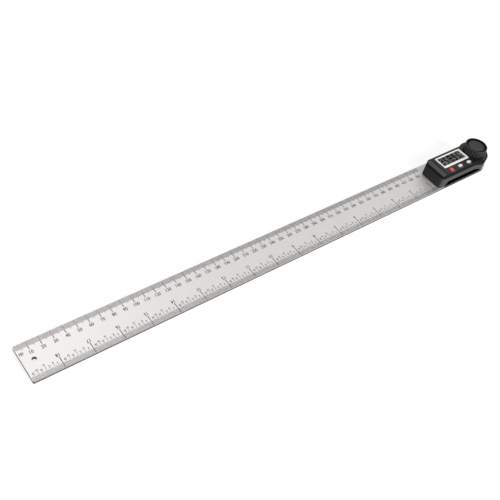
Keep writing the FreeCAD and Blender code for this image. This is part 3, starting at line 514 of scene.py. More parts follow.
def make_finishes():
    """Make every material once, named for its finish, some with patches of painted shade and
    light.
    """
    tint = bpy.context.scene.angle_finder_finishes
    made = {}
    # ground stainless steel: pale, satin, with lines along the arm, and sides of painted shade
    for arm, node, side in (("upper", "upper_blade", tint.side),
                            ("lower", "lower_blade", tint.lower_side)):
        low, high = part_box(node)
        steel = ground_steel(f"Ground stainless steel, {arm} arm", tint.steel, side,
                             tint.sheared, low, high)
        # painted shadow of the grip on the near sides of both arms
        patch(steel, Vector((GRIP_LOW.x, low.y - MM, low.z)),
              Vector((GRIP_HIGH.x, low.y + HAIR, high.z - HAIR)), tint.under_grip,
              GRIP_SHADOW_SOFT)
        made[f"{arm}_steel"] = steel
    # each has its name, its colour, its roughness, the size and depth of its grain in
    # millimetres, and its specular level
    for key, name, base, roughness, grain, depth, specular in (
        # black paint wiped into the etched lines: dull and a little uneven
        ("ink", "Black etch filling", tint.ink, 0.7, 0.3, 0.005, 0.1),
        # ABS with a fine spark-eroded grain: dark, soft sheen
        ("shell", "Spark-grained ABS, lower shell", tint.shell, 0.6, 0.4, 0.02, 0.0),
        # painted shade: near-black for the grip's recess, the pad under it and the ring in the
        # knob
        ("grip", "Finger grip in painted shade", tint.grip, 0.8, 0.4, 0.02, 0.0),
        ("cover", "Spark-grained ABS, upper shell", tint.cover, 0.6, 0.4, 0.02, 0.0),
        ("knob", "Spark-grained ABS, knob", tint.knob, 0.42, 0.5, 0.02, 0.2),
        # ABS from a finer mould: a satin sheen
        ("disc", "Satin ABS, knob disc", tint.disc, 0.45, 0.5, 0.01, 0.2),
        # polycarbonate film: smooth and glossy, with a slight orange peel
        ("face", "Gloss polycarbonate film", tint.face, 0.35, 3.0, 0.004, 0.28),
        # polished ABS: a clean bright colour with a soft gloss
        ("white", "Polished white ABS", tint.white, 0.32, 2.0, 0.004, 0.5),
        ("key", "Polished white ABS, buttons", tint.key, 0.32, 2.0, 0.004, 0.5),
        ("red", "Polished red ABS", tint.red, 0.3, 2.0, 0.004, 0.5),
        # polarised display glass: grey-green, smooth, slightly uneven
        ("glass", "Polarised display glass", tint.glass, 0.4, 5.0, 0.002, 0.0),
        # crystals that block the light: flat and nearly black
        ("segment", "Liquid crystal segments", linear("#050605"), 0.4, 1.0, 0.001, 0.0),
        # thin ink from a soft pad: grey and dull on the gloss film
        ("label", "Grey pad print", linear("#8A8A8D"), 0.5, 0.3, 0.002, 0.3),
        # nylon sheet: cream, waxy and dull
        ("nylon", "Natural nylon sheet", linear("#DDD8C8"), 0.5, 0.5, 0.01, 0.5),
        # solder mask over copper tracks: deep green, glossy, gently uneven
        ("board", "Green solder mask", linear("#1E6B3A"), 0.3, 1.2, 0.02, 0.5),
        # filled epoxy: near black and matt
        ("epoxy", "Black moulding epoxy", linear("#2B2B2B"), 0.55, 0.3, 0.01, 0.5),
        # silicone with layers of carbon: grey and matt
        ("rubber", "Layered contact rubber", linear("#8E8A94"), 0.6, 0.25, 0.01, 0.5),
    ):
        made[key] = moulded(name, base, roughness, grain * MM, depth * MM, specular)
    # painted light: a paler band on the near wall above the grip
    patch(made["shell"], LIT_BAND_LOW, LIT_BAND_HIGH, tint.band, LIT_BAND_SOFT)
    # painted shade: the finger grip's recess is near-black
    patch(made["shell"], GRIP_LOW, GRIP_HIGH, tint.grip)
    # painted light: the sloping end of the upper shell is paler
    patch(made["cover"], LIT_BEVEL_LOW, LIT_BEVEL_HIGH, tint.bevel)
    # turned and stamped metals of the pivot and the inside: bright, each with its own tint
    for key, name, code, roughness in (
        ("stud", "Turned steel", "#BDBCBA", 0.3),
        ("spring", "Spring steel strip", "#C6C2BC", 0.28),
        ("brass", "Turned brass", "#D8B26A", 0.28),
        ("screw", "Zinc-plated screw steel", "#A9ABAD", 0.35),
        ("cell", "Nickel-plated cell can", "#D2D3D4", 0.34),
    ):
        made[key] = turned_metal(name, linear(code), roughness)
    # clear acrylic window: a smooth gloss over the display
    clear, tree, shader = surface("Clear acrylic window", linear("#FCFDFC"), 0.0, 0.04,
                                  **{"Transmission Weight": 1.0, "IOR": 1.1})
    uneven(tree, shader, [400.0] * 3, {"Detail": 2.0}, 0.02, 0.07)
    made["clear"] = clear
    return made


# ---------------------------------------------------------------- arms and scales


# the most millimetres that an arm is marked with
MILLIMETRES = 480
# inches from the free end to the zero of the inch scale, and the parts of each
INCHES = 19
PARTS = 32
# every fourth part has a numeral
PART_STEP = 4
# middle of the unit mark from the free end
UNIT_PLACE = 2.8 * MM
# how much bolder than the font the scales' letters are, as a share of their size
BOLD = 0.014
# how narrow the numerals, the unit mark and the small numerals are
NUMERAL_NARROW = 0.85
UNIT_NARROW = 0.5
PART_NARROW = 0.8


def scale_tree(name, levels):
    """A row of lines: all are as long as a single line, but each level's lines are longer.

    A level is the count from one of its lines to the next; the last level is also bold.
    The lines run along Y where Inwards is 1, and against it where Inwards is -1."""
    tree, given = start_tree(
        name, ("Count", "Int", 10), ("First", "Int", 0), ("Start", "Vector", None),
        ("Pitch", "Float", MM), ("Width", "Float", 0.3 * MM), ("Bold width", "Float", 0.5 * MM),
        ("Height", "Float", 0.1 * MM), ("Inwards", "Float", 1.0),
        ("Single length", "Float", 4 * MM),
        *((f"Length of every {level}", "Float", 5 * MM) for level in levels))
    step = add(tree, "ShaderNodeCombineXYZ", {"X": given["Pitch"]})
    row = add(tree, "GeometryNodeMeshLine",
              {"Count": given["Count"], "Start Location": given["Start"],
               "Offset": step.outputs["Vector"]}, mode="OFFSET")
    index = add(tree, "GeometryNodeInputIndex")
    number = add(tree, "ShaderNodeMath", {0: index.outputs["Index"], 1: given["First"]},
                 operation="ADD")
    reach = given["Single length"]
    for level in levels:
        rest = add(tree, "ShaderNodeMath", {0: number.outputs["Value"], 1: level},
                   operation="MODULO")
        whole = add(tree, "ShaderNodeMath", {0: rest.outputs["Value"], 1: 0.5},
                    operation="LESS_THAN")
        choice = add(tree, "GeometryNodeSwitch",
                     {"Switch": whole.outputs["Value"], "False": reach,
                      "True": given[f"Length of every {level}"]}, input_type="FLOAT")
        reach = choice.outputs["Output"]
    thick = add(tree, "GeometryNodeSwitch",
                {"Switch": whole.outputs["Value"], "False": given["Width"],
                 "True": given["Bold width"]}, input_type="FLOAT")
    half = add(tree, "ShaderNodeMath", {0: given["Inwards"], 1: 0.5}, operation="MULTIPLY")
    shift = add(tree, "ShaderNodeCombineXYZ", {"Y": half.outputs["Value"]})
    line = add(tree, "GeometryNodeMeshCube", {"Size": (1, 1, 1)})
    moved = add(tree, "GeometryNodeTransform",
                {"Geometry": line.outputs["Mesh"], "Translation": shift.outputs["Vector"]})
    size = add(tree, "ShaderNodeCombineXYZ",
               {"X": thick.outputs["Output"], "Y": reach, "Z": given["Height"]})
    lines = add(tree, "GeometryNodeInstanceOnPoints",
                {"Points": row.outputs["Mesh"], "Instance": moved.outputs["Geometry"],
                 "Scale": size.outputs["Vector"]})
    return end_tree(tree, given, lines.outputs["Instances"])


def lay_lines(name, arm, lengths, values):
    """Lay the lines of one scale on an arm; the lengths go by the count of their level."""
    size = bpy.context.scene.angle_finder_scales
    reaches = {f"Length of every {level}": reach for level, reach in lengths.items()}
    mesh = grow(scale_tree(name, list(lengths)),
                {**values, **reaches, "Height": size.line_height, "Material": FINISHES["ink"]})
    piece(name, mesh, arm, "ink", smooth=False)


def scales(arm, top, end):
    """Metric scale on the far edge and inch scale on the near edge, up to a place along X."""
    size = bpy.context.scene.angle_finder_scales
    count = min(MILLIMETRES, int((end - FREE_END) / MM))
    lay_lines(f"{arm}_metric_lines", arm, {5: size.metric_five, 10: size.metric_ten}, {
        "Count": count, "First": 1, "Start": (FREE_END + MM, FAR_EDGE, top), "Pitch": MM,
        "Width": size.metric_width, "Bold width": size.metric_bold, "Inwards": -1.0,
        "Single length": size.metric_single})
    zero = FREE_END + INCHES * INCH
    first = max(0, math.ceil((zero - end) / (INCH / PARTS)))
    inch_lengths = {2: size.inch_sixteenth, 4: size.inch_eighth, 8: size.inch_quarter,
                    16: size.inch_half, 32: size.inch_whole}
    lay_lines(f"{arm}_inch_lines", arm, inch_lengths, {
        "Count": INCHES * PARTS - first, "First": first,
        "Start": (zero - first * INCH / PARTS, NEAR_EDGE, top), "Pitch": -INCH / PARTS,
        "Width": size.inch_width, "Bold width": size.inch_bold, "Inwards": 1.0,
        "Single length": size.inch_part})

    words = Lettering(size.line_height, bold=BOLD)
    for tens in range(10, count + 1, 10):
        place = Vector((FREE_END + tens * MM, FAR_EDGE - size.metric_row, top))
        words.add(str(tens), place, size.metric_word, narrow=NUMERAL_NARROW)
    words.add("MM", Vector((FREE_END + UNIT_PLACE, FAR_EDGE - size.unit_row, top)),
              size.metric_word, narrow=UNIT_NARROW)
    limit = end - size.inch_word
    for inch in range(INCHES):
        x = zero - inch * INCH
        if inch and x < limit:
            place = Vector((x, NEAR_EDGE + size.inch_row, top))
            words.add(str(inch), place, size.inch_word, upside_down=True, narrow=NUMERAL_NARROW)
        for part in range(PART_STEP, PARTS, PART_STEP):
            x = zero - inch * INCH - part * INCH / PARTS
            reach = max(reach for level, reach in inch_lengths.items() if part % level == 0)
            if x < limit:
                place = Vector((x, NEAR_EDGE + reach + size.part_gap, top))
                words.add(str(part), place, size.part_word, upside_down=True, narrow=PART_NARROW)
    piece(f"{arm}_numerals", words.finish(), arm, "ink", smooth=False)


class BuildArms(bpy.types.Operator):
    """Finish both steel arms and their pivot, and lay the scales on them"""
    bl_idname = "angle_finder.arms"
    bl_label = "Steel arms and scales"

    def execute(self, context):
        finish_nodes(upper_blade="upper_steel", lower_blade="lower_steel", pivot_stud="stud",
                     slip_washer="nylon", pivot_bush="brass", retaining_ring="spring")
        scales("upper_arm", ARM_HIGH.z, HEAD_LOW.x)
        scales("lower_arm", LOWER_ARM_TOP, ARM_HIGH.x)
        return {"FINISHED"}


# ---------------------------------------------------------------- head


class BuildShells(bpy.types.Operator):
    """Finish the two shells of the head and its face plate"""
    bl_idname = "angle_finder.shells"
    bl_label = "Shells of the head"

    def execute(self, context):
        finish_nodes(housing_base="shell", housing_cover="cover", face_plate="face")
        # the dark joint between the face plate and the sloping end
        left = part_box("face_plate")[0].x
        low = Vector((left - 0.4 * MM, NEAR_WALL + 1.8 * MM, 0))
        high = Vector((left + 0.5 * MM, HEAD_HIGH.y - 2.4 * MM, 0))
        rings = [box_ring(low, high, 0.1 * MM, z) for z in (FACE_TOP, FACE_TOP + HAIR)]
        piece("plate_seam", loft(rings), "upper_arm", "grip")

        # a near-black pad on the floor of the finger grip, with a chamfer round its top; it covers
        # the steel there with painted shade
        low = Vector((GRIP_LOW.x + 2.0 * MM, NEAR_WALL - 0.1 * MM, 0))
        high = Vector((GRIP_HIGH.x - 2.0 * MM, NEAR_WALL + 1.55 * MM, 0))
        corner = 0.4 * MM
        chamfer = 0.15 * MM
        foot = ARM_HIGH.z
        side = foot + 0.35 * MM
        rings = [box_ring(low, high, corner, foot), box_ring(low, high, corner, side),
                 box_ring(low, high, corner, side + chamfer, inset=chamfer)]
        piece("grip_shade_pad", loft(rings), "upper_arm", "grip")
        return {"FINISHED"}


# bars of a digit: across at the top, middle and foot, upright on the left and right
BARS = {
    "top": ((0, 1), (1, 1)), "middle": ((0, 0.5), (1, 0.5)), "foot": ((0, 0), (1, 0)),
    "upper left": ((0, 0.5), (0, 1)), "upper right": ((1, 0.5), (1, 1)),
    "lower left": ((0, 0), (0, 0.5)), "lower right": ((1, 0), (1, 0.5)),
}
DIGITS = {
    "3": ("top", "middle", "foot", "upper right", "lower right"),
    "5": ("top", "middle", "foot", "upper left", "lower right"),
    "9": ("top", "middle", "foot", "upper left", "upper right", "lower right"),
}
READING = "35995"
# how far the digits lean for each unit of height
LEAN = 0.06
# length of a bar's pointed end as a share of its stroke
BLUNT = 0.3
# how far the reading stands left of the frame's middle
READING_SHIFT = 1.9 * MM
# places of the point and the degree mark, in digit pitches from the reading's left
POINT_PLACE = 2.78
MARK_PLACE = 4.9
# radius of the degree mark as a share of the stroke, and points round both dots
MARK_RADIUS = 0.45
DOT_STEPS = 16


def bar(start, end, stroke):
    """Outline of one bar of a digit, six-sided with blunt pointed ends."""
    along = (end - start).normalized()
    side = Vector((-along.y, along.x, 0)) * stroke / 2
    point = along * BLUNT * stroke
    return [start - point, start - side, end - side, end + point, end + side, start + side]


def segments(size, low, high):
    """The reading with its point and its degree mark, as thin solids on the glass."""
    middle = (FRAME_LOW + FRAME_HIGH) / 2
    foot = middle.y + (size.frame_near - size.frame_far) / 2 - size.digit_height / 2
    width = size.digit_width - size.stroke
    height = size.digit_height - size.stroke
    left = middle.x - 2 * size.digit_pitch - READING_SHIFT - width / 2
    outlines = []
    for number, digit in enumerate(READING):
        x = left + number * size.digit_pitch
        for name in DIGITS[digit]:
            ends = []
            for across, up in BARS[name]:
                y = foot + size.stroke / 2 + up * height
                ends.append(Vector((x + across * width + (y - foot) * LEAN, y, 0)))
            outlines.append(bar(*ends, size.stroke))
    point = Vector((left + POINT_PLACE * size.digit_pitch, foot + size.stroke / 2, 0))
    outlines.append(circle(point, size.stroke / 2, 0, DOT_STEPS))
    mark = Vector((left + MARK_PLACE * size.digit_pitch, foot + height, 0))
    outlines.append(circle(mark, size.stroke * MARK_RADIUS, 0, DOT_STEPS))
    shape = bmesh.new()
    for outline in outlines:
        stack(shape, [[(place.x, place.y, z) for place in outline] for z in (low, high)])
    return plain_mesh(shape, "segments")


class BuildDisplay(bpy.types.Operator):
    """Make the white frame, the window, the digits and the labels"""
    bl_idname = "angle_finder.display"
    bl_label = "Display"

    def execute(self, context):
        size = context.scene.angle_finder_head
        corner = 0.6 * MM
        bevel = 0.2 * MM
        edge = 0.12 * MM
        low, high = FRAME_LOW, FRAME_HIGH
        window = (low + Vector((size.frame_left, size.frame_near, 0)),
                  high - Vector((size.frame_right, size.frame_far, 0)))
        # the frame's lip lies over the face plate, just above it
        lip = (low - Vector((0.1 * MM, 0, 0)), high + Vector((0.5 * MM, 0.35 * MM, 0)))
        seam = FACE_TOP + 0.01 * MM
        rings = [
            box_ring(low, high, corner, low.z),
            box_ring(low, high, corner, seam),
            box_ring(*lip, corner, seam),
            box_ring(*lip, corner, high.z - edge),
            box_ring(*lip, corner, high.z, inset=edge),
            box_ring(*window, corner, high.z, inset=-bevel),
            box_ring(*window, corner, high.z - bevel),
            box_ring(*window, corner, low.z),
        ]
        piece("display_frame", loft(rings, hollow=True), "upper_arm", "white",
              ["display_bezel"])

        gap = 0.05 * MM
        chamfer = 0.1 * MM
        picture = WINDOW_TOP - 0.3 * MM
        low, high = window
        rings = [
            box_ring(low, high, corner, picture + 0.12 * MM, inset=gap),
            box_ring(low, high, corner, WINDOW_TOP - chamfer, inset=gap),
            box_ring(low, high, corner, WINDOW_TOP, inset=gap + chamfer),
        ]
        piece("display_window", loft(rings), "upper_arm", "clear",
              ["display_lens"])
        small_corner = 0.1 * MM
        rings = [
            box_ring(GLASS_LOW, GLASS_HIGH, small_corner, GLASS_LOW.z),
            box_ring(GLASS_LOW, GLASS_HIGH, small_corner, GLASS_HIGH.z),
            box_ring(low, high, small_corner, GLASS_HIGH.z, inset=gap),
            box_ring(low, high, small_corner, picture, inset=gap),
        ]
        piece("display_cell", loft(rings), "upper_arm", "glass",
              ["display_panel"])
        finish_nodes(contact_strips="rubber")
        digits = segments(size, picture - 0.02 * MM, picture + 0.03 * MM)
        piece("display_digits", digits, "upper_arm", "segment", smooth=False)

        words = Lettering(0.03 * MM)
        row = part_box("hold_button")[0].y - 0.9 * MM
        for word, node in (("ON/OFF", "power_button"), ("HOLD", "hold_button"),
                           ("ZERO", "zero_button")):
            button_low, button_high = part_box(node)
            x = (button_low.x + button_high.x) / 2
            words.add(word, Vector((x, row, FACE_TOP)), size.label_height)
        piece("button_labels", words.finish(), "upper_arm", "label", smooth=False)
        return {"FINISHED"}


# radius of a button's stem, how far its flange lies below the face, and the flange's
# thickness and its step beyond the crown
KEY_STEM = 1.2 * MM
KEY_DROP = 1.3 * MM
KEY_FLANGE = 0.8 * MM
KEY_STEP = 0.5 * MM
# heights of the crown's upright wall and of the dome on it, as shares of the height of
# the solid's crown, which they pass a little
KEY_UPRIGHT = 0.25
KEY_DOME = 0.95
# degrees up the dome at which its rings lie; the last one borders a small flat
KEY_TURNS = (15, 30, 45, 60, 75, 86)
# share of a long button's reach that is left on top of its dome
KEY_FLAT = 0.35


def key_rings(low, high, reach, radius):
    """Rings of a button: stem, flange behind the face, crown and a domed top."""
    centre = (low + high) / 2
    flange_top = FACE_TOP - KEY_DROP
    flange_foot = flange_top - KEY_FLANGE
    crown = high.z - FACE_TOP
    rings = [
        slot_ring(centre, 0, KEY_STEM, low.z),
        slot_ring(centre, 0, KEY_STEM, flange_foot),
        slot_ring(centre, reach, radius + KEY_STEP, flange_foot),
        slot_ring(centre, reach, radius + KEY_STEP, flange_top),
        slot_ring(centre, reach, radius, flange_top),
        slot_ring(centre, reach, radius, FACE_TOP + crown * KEY_UPRIGHT),
    ]
    for turn in KEY_TURNS:
        angle = math.radians(turn)
        rings.append(slot_ring(centre, reach * (KEY_FLAT + (1 - KEY_FLAT) * math.cos(angle)),
                               radius * math.cos(angle),
                               FACE_TOP + crown * (KEY_UPRIGHT + KEY_DOME * math.sin(angle))))
    return rings


class BuildButtons(bpy.types.Operator):
    """Make the red power button and the two white buttons with their plungers"""
    bl_idname = "angle_finder.buttons"
    bl_label = "Buttons"

    def execute(self, context):
        for node, body, reach, radius, finish, slot in (
            ("power_button", "power_key", 0.0, 2.3 * MM, "red", "red_plastic"),
            ("hold_button", "hold_key", 1.2 * MM, 1.6 * MM, "key", "white_plastic"),
            ("zero_button", "zero_key", 1.2 * MM, 1.6 * MM, "key", "white_plastic"),
        ):
            mesh = loft(key_rings(*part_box(node), reach, radius))
            piece(f"{node}_domed", mesh, body, finish, [node])
        finish_nodes(power_plunger="epoxy", hold_plunger="epoxy", zero_plunger="epoxy",
                     switch_bodies="epoxy")
        return {"FINISHED"}


# ---------------------------------------------------------------- lock knob


# flutes round the knob, and points round each
FLUTES = 24
FLUTE_POINTS = 12
# how much wider and higher than its solid the knob is
KNOB_WIDER = 0.5 * MM
KNOB_HIGHER = 0.3 * MM


def flute_tree():
    """Press flutes into the side of a turned knob, fading out towards its top and middle."""
    tree, given = start_tree(
        "Grip flutes", ("Centre", "Vector", None), ("Count", "Int", 26),
        ("Depth", "Float", 0.4 * MM), ("Inside", "Float", 10 * MM),
        ("Outside", "Float", 11 * MM), ("Top", "Float", 20 * MM), ("Fade", "Float", MM))
    place = add(tree, "GeometryNodeInputPosition")
    local = add(tree, "ShaderNodeVectorMath",
                {0: place.outputs["Position"], 1: given["Centre"]}, operation="SUBTRACT")
    parts = add(tree, "ShaderNodeSeparateXYZ", {"Vector": local.outputs["Vector"]})
    flat = add(tree, "ShaderNodeCombineXYZ",
               {"X": parts.outputs["X"], "Y": parts.outputs["Y"]})
    radius = add(tree, "ShaderNodeVectorMath", {0: flat.outputs["Vector"]}, operation="LENGTH")
    angle = add(tree, "ShaderNodeMath", {0: parts.outputs["Y"], 1: parts.outputs["X"]},
                operation="ARCTAN2")
    turn = add(tree, "ShaderNodeMath", {0: angle.outputs["Value"], 1: given["Count"]},
               operation="MULTIPLY")
    wave = add(tree, "ShaderNodeMath", {0: turn.outputs["Value"]}, operation="COSINE")
    lifted = add(tree, "ShaderNodeMapRange", {"Value": wave.outputs["Value"], "From Min": -1.0})
    # a power below 1 makes the hollows wide and the ridges narrow
    hollow = add(tree, "ShaderNodeMath", {0: lifted.outputs["Result"], 1: 0.7}, operation="POWER")
    side = add(tree, "ShaderNodeMapRange",
               {"Value": radius.outputs["Value"], "From Min": given["Inside"],
                "From Max": given["Outside"]}, interpolation_type="SMOOTHSTEP")
    start = add(tree, "ShaderNodeMath", {0: given["Top"], 1: given["Fade"]}, operation="SUBTRACT")
    below = add(tree, "ShaderNodeMapRange",
                {"Value": parts.outputs["Z"], "From Min": start.outputs["Value"],
                 "From Max": given["Top"], "To Min": 1.0, "To Max": 0.0},
                interpolation_type="SMOOTHSTEP")
    # the minus sign presses the flutes inwards
    amount = hollow.outputs["Value"]
    for factor in (side.outputs["Result"], below.outputs["Result"], given["Depth"], -1.0):
        product = add(tree, "ShaderNodeMath", {0: amount, 1: factor}, operation="MULTIPLY")
        amount = product.outputs["Value"]
    outwards = add(tree, "ShaderNodeVectorMath", {0: flat.outputs["Vector"]},
                   operation="NORMALIZE")
    shift = add(tree, "ShaderNodeVectorMath",
                {0: outwards.outputs["Vector"], "Scale": amount}, operation="SCALE")
    pressed = add(tree, "GeometryNodeSetPosition",
                  {"Geometry": given["Geometry"], "Offset": shift.outputs["Vector"]})
    return end_tree(tree, given, pressed.outputs["Geometry"])


class BuildKnob(bpy.types.Operator):
    """Make the fluted lock knob with its raised rim and the disc in its top"""
    bl_idname = "angle_finder.knob"
    bl_label = "Lock knob"

    def execute(self, context):
        size = context.scene.angle_finder_head
        insert_low, insert_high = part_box("knob_insert")
        play = 0.05 * MM
        bore = (insert_high.x - insert_low.x) / 2 + play
        roof = insert_high.z
        seat = roof + play
        outside = (KNOB_HIGH.x - KNOB_LOW.x) / 2 + KNOB_WIDER
        rim = outside - size.rim_width
        low, high = KNOB_LOW.z, KNOB_HIGH.z + KNOB_HIGHER
        edge = size.edge
        foot = 0.6 * MM
        chamfer = 0.15 * MM
        rounding = 0.5 * MM
        profile = [
            (HAIR, roof), (bore, roof), (bore, low), (outside - foot, low),
            (outside - chamfer, low + chamfer), (outside, low + foot),
        ]
        side = high - low - foot - rounding - 0.2 * MM
        steps = 6
        for step in range(1, steps):
            profile.append((outside, low + foot + side * step / steps))
        for turn in range(0, 91, 15):
            angle = math.radians(turn)
            profile.append((outside - rounding * (1 - math.cos(angle)),
                            high - rounding * (1 - math.sin(angle))))
        profile += [(rim + edge, high), (rim + edge * 0.3, high - edge * 0.3),
                    (rim, high - edge), (rim, seat), (HAIR, seat)]
        start = loft(turned(profile, PIVOT, steps=FLUTES * FLUTE_POINTS))
        mesh = grow(flute_tree(), {
            "Centre": tuple(PIVOT), "Count": FLUTES, "Depth": size.flute_depth,
            "Inside": outside - 1.2 * MM, "Outside": outside - 0.1 * MM,
            "Top": high - PIVOT.z, "Fade": 0.7 * MM, "Material": FINISHES["knob"]}, start)
        piece("lock_knob_fluted", mesh, "knob_turn", "knob", ["lock_knob"])

        # the black ring of painted shade slopes up from the disc to the rim
        radius = rim - size.ring_width
        top = high - size.dish_depth
        bed = seat + HAIR
        tube = [(radius + HAIR, bed), (rim - HAIR, bed), (rim - HAIR, high - edge),
                (radius + HAIR, top + 0.35 * MM)]
        piece("knob_shade_ring", loft(turned(tube, PIVOT), hollow=True), "knob_turn", "grip")
        # the disc has a chamfered edge and a shallow hollow in its middle
        sunk = top - 0.1 * MM
        dish = [(HAIR, bed), (radius, bed), (radius, top - chamfer), (radius - chamfer, top),
                (radius * 0.8, top), (radius * 0.76, sunk), (radius * 0.5, sunk), (HAIR, sunk)]
        piece("knob_disc", loft(turned(dish, PIVOT)), "knob_turn", "disc",
              ["knob_cap"])
        finish_nodes(knob_insert="brass", thrust_washer="stud")
        return {"FINISHED"}


# ---------------------------------------------------------------- inside of the head


# sizes that all the screws share; each set has its own length
SCREW = {"Head radius": 1.85 * MM, "Head height": 0.8 * MM, "Core radius": 0.8 * MM,
         "Pitch": 0.5 * MM, "Ridge": 0.19 * MM, "Recess": 0.45 * MM, "Slot width": 0.5 * MM}
# a point that is nearer than this to the middle of a screw belongs to it
SCREW_REACH = 4 * MM


def screw_tree():
    """Screws, heads down, on the points of a mesh: head with a cross recess, core and thread."""
    tree, given = start_tree("Cross-head screws", ("Length", "Float", 4 * MM),
                             *((name, "Float", value) for name, value in SCREW.items()))
    head = add(tree, "GeometryNodeMeshCone",
               {"Vertices": 32, "Radius Top": given["Head radius"],
                "Radius Bottom": given["Head radius"], "Depth": given["Head height"]})
    core = add(tree, "GeometryNodeMeshCone",
               {"Vertices": 24, "Radius Top": given["Core radius"],
                "Radius Bottom": given["Core radius"], "Depth": given["Length"]})
    slot_length = add(tree, "ShaderNodeMath", {0: given["Head radius"], 1: 1.2},
                      operation="MULTIPLY")
    # half of each cutter lies below the head, so it is twice as deep as the recess
    deep = add(tree, "ShaderNodeMath", {0: given["Recess"], 1: 2.0}, operation="MULTIPLY")
    crossed = head.outputs["Mesh"]
    for x, y in ((slot_length.outputs["Value"], given["Slot width"]),
                 (given["Slot width"], slot_length.outputs["Value"])):
        size = add(tree, "ShaderNodeCombineXYZ", {"X": x, "Y": y, "Z": deep.outputs["Value"]})
        cutter = add(tree, "GeometryNodeMeshCube", {"Size": size.outputs["Vector"]})
        cut = add(tree, "GeometryNodeMeshBoolean",
                  {"Mesh 1": crossed, "Mesh 2": cutter.outputs["Mesh"]}, operation="DIFFERENCE")
        crossed = cut.outputs["Mesh"]
    turns = add(tree, "ShaderNodeMath", {0: given["Length"], 1: given["Pitch"]},
                operation="DIVIDE")
    helix = add(tree, "GeometryNodeCurveSpiral",
                {"Resolution": 16, "Rotations": turns.outputs["Value"],
                 "Start Radius": given["Core radius"], "End Radius": given["Core radius"],
                 "Height": given["Length"]})
    wire = add(tree, "GeometryNodeCurvePrimitiveCircle",
               {"Resolution": 4, "Radius": given["Ridge"]}, mode="RADIUS")
    thread = add(tree, "GeometryNodeCurveToMesh",
                 {"Curve": helix.outputs["Curve"], "Profile Curve": wire.outputs["Curve"],
                  "Fill Caps": True})
    whole = add(tree, "GeometryNodeJoinGeometry")
    for part in (crossed, core.outputs["Mesh"], thread.outputs["Mesh"]):
        tree.links.new(part, whole.inputs["Geometry"])
    row = add(tree, "GeometryNodeInstanceOnPoints",
              {"Points": given["Geometry"], "Instance": whole.outputs["Geometry"]})
    return end_tree(tree, given, row.outputs["Instances"])


def middles(node, reach):
    """Middles in plan of the separate solids of a node, each narrower than a reach."""
    groups = []
    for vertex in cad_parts[node].data.vertices:
        for low, high in groups:
            if (vertex.co.xy - (low + high) / 2).length < reach:
                low[:] = (min(low.x, vertex.co.x), min(low.y, vertex.co.y))
                high[:] = (max(high.x, vertex.co.x), max(high.y, vertex.co.y))
                break
        else:
            groups.append((vertex.co.xy.copy(), vertex.co.xy.copy()))
    return [(low + high) / 2 for low, high in groups]


class BuildInside(bpy.types.Operator):
    """Finish the boards, the battery and its drawer, the contacts and the screws"""
    bl_idname = "angle_finder.inside"
    bl_label = "Inside of the head"

    def execute(self, context):
        finish_nodes(main_board="board", sensor_board="board", encoder_rotor="board",
                     board_link_pins="brass", control_chip="epoxy", battery_leaf="spring",
                     battery_spring="spring", battery_drawer="shell")

        for node in ("blade_screws", "cover_screws", "board_screws"):
            low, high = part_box(node)
            points = bpy.data.meshes.new("points")
            places = [(*place, low.z) for place in middles(node, SCREW_REACH)]
            points.from_pydata(places, [], [])
            mesh = grow(screw_tree(), {**SCREW, "Length": high.z - low.z,
                                       "Material": FINISHES["screw"]}, points)
            piece(f"{node}_crossed", mesh, "upper_arm", "screw", [node])

        # the can of the cell has a rounded rim, and a groove for the seal round its cap
        low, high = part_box("coin_cell")
        centre = (low + high) / 2
        radius = (high.x - low.x) / 2
        cap = radius - 1.2 * MM
        shoulder = high.z - 0.4 * MM
        curve = 0.3 * MM
        seal = 0.15 * MM
        profile = [(HAIR, low.z), (radius - curve, low.z), (radius, low.z + curve),
                   (radius, shoulder - curve), (radius - curve, shoulder),
                   (cap + seal * 2, shoulder), (cap + seal, shoulder - seal * 2),
                   (cap, shoulder), (cap, high.z - seal), (cap - seal, high.z),
                   (HAIR, high.z)]
        piece("coin_cell_rimmed", loft(turned(profile, centre)), "battery_slide", "cell",
              ["coin_cell"])
        return {"FINISHED"}


# ---------------------------------------------------------------- stage


# half the side of the floor, and how far it lies below the lower arm
FLOOR_REACH = 6.0
FLOOR_DROP = 0.3 * MM
WHITE = (*linear("#FFFFFF"), 1)
# how strongly the floor glows, and how strongly the world lights the object
FLOOR_GLOW = 0.75
WORLD_LIGHT = 0.5
# name, place, aim, size and power in watts of each lamp
LAMPS = (
    ("near_lamp", (0.25, -1.0, 0.65), (0.1, 0, 0), 0.5, 11.5),
    ("free_end_lamp", (-0.15, 0.36, 0.59), (-0.26, 0, 0), 0.25, 1.0),
)
# the camera's lens and sensor in millimetres, its place, and its turn in degrees
CAMERA_LENS = 54.308
CAMERA_SENSOR = 36.0
CAMERA_PLACE = (-0.37056, -0.29923, 0.48897)
CAMERA_TURN = (42.031, -9.154, -36.613)


def backdrop_rays(tree):
    """1 for the rays that show the backdrop: straight, in a reflection or through a window."""
    path = add(tree, "ShaderNodeLightPath")
    seen = add(tree, "ShaderNodeMath", {0: path.outputs["Is Camera Ray"],
                                        1: path.outputs["Is Glossy Ray"]}, operation="MAXIMUM")
    both = add(tree, "ShaderNodeMath", {0: seen.outputs["Value"],
                                        1: path.outputs["Is Transmission Ray"]},
               operation="MAXIMUM")
    return both.outputs["Value"]


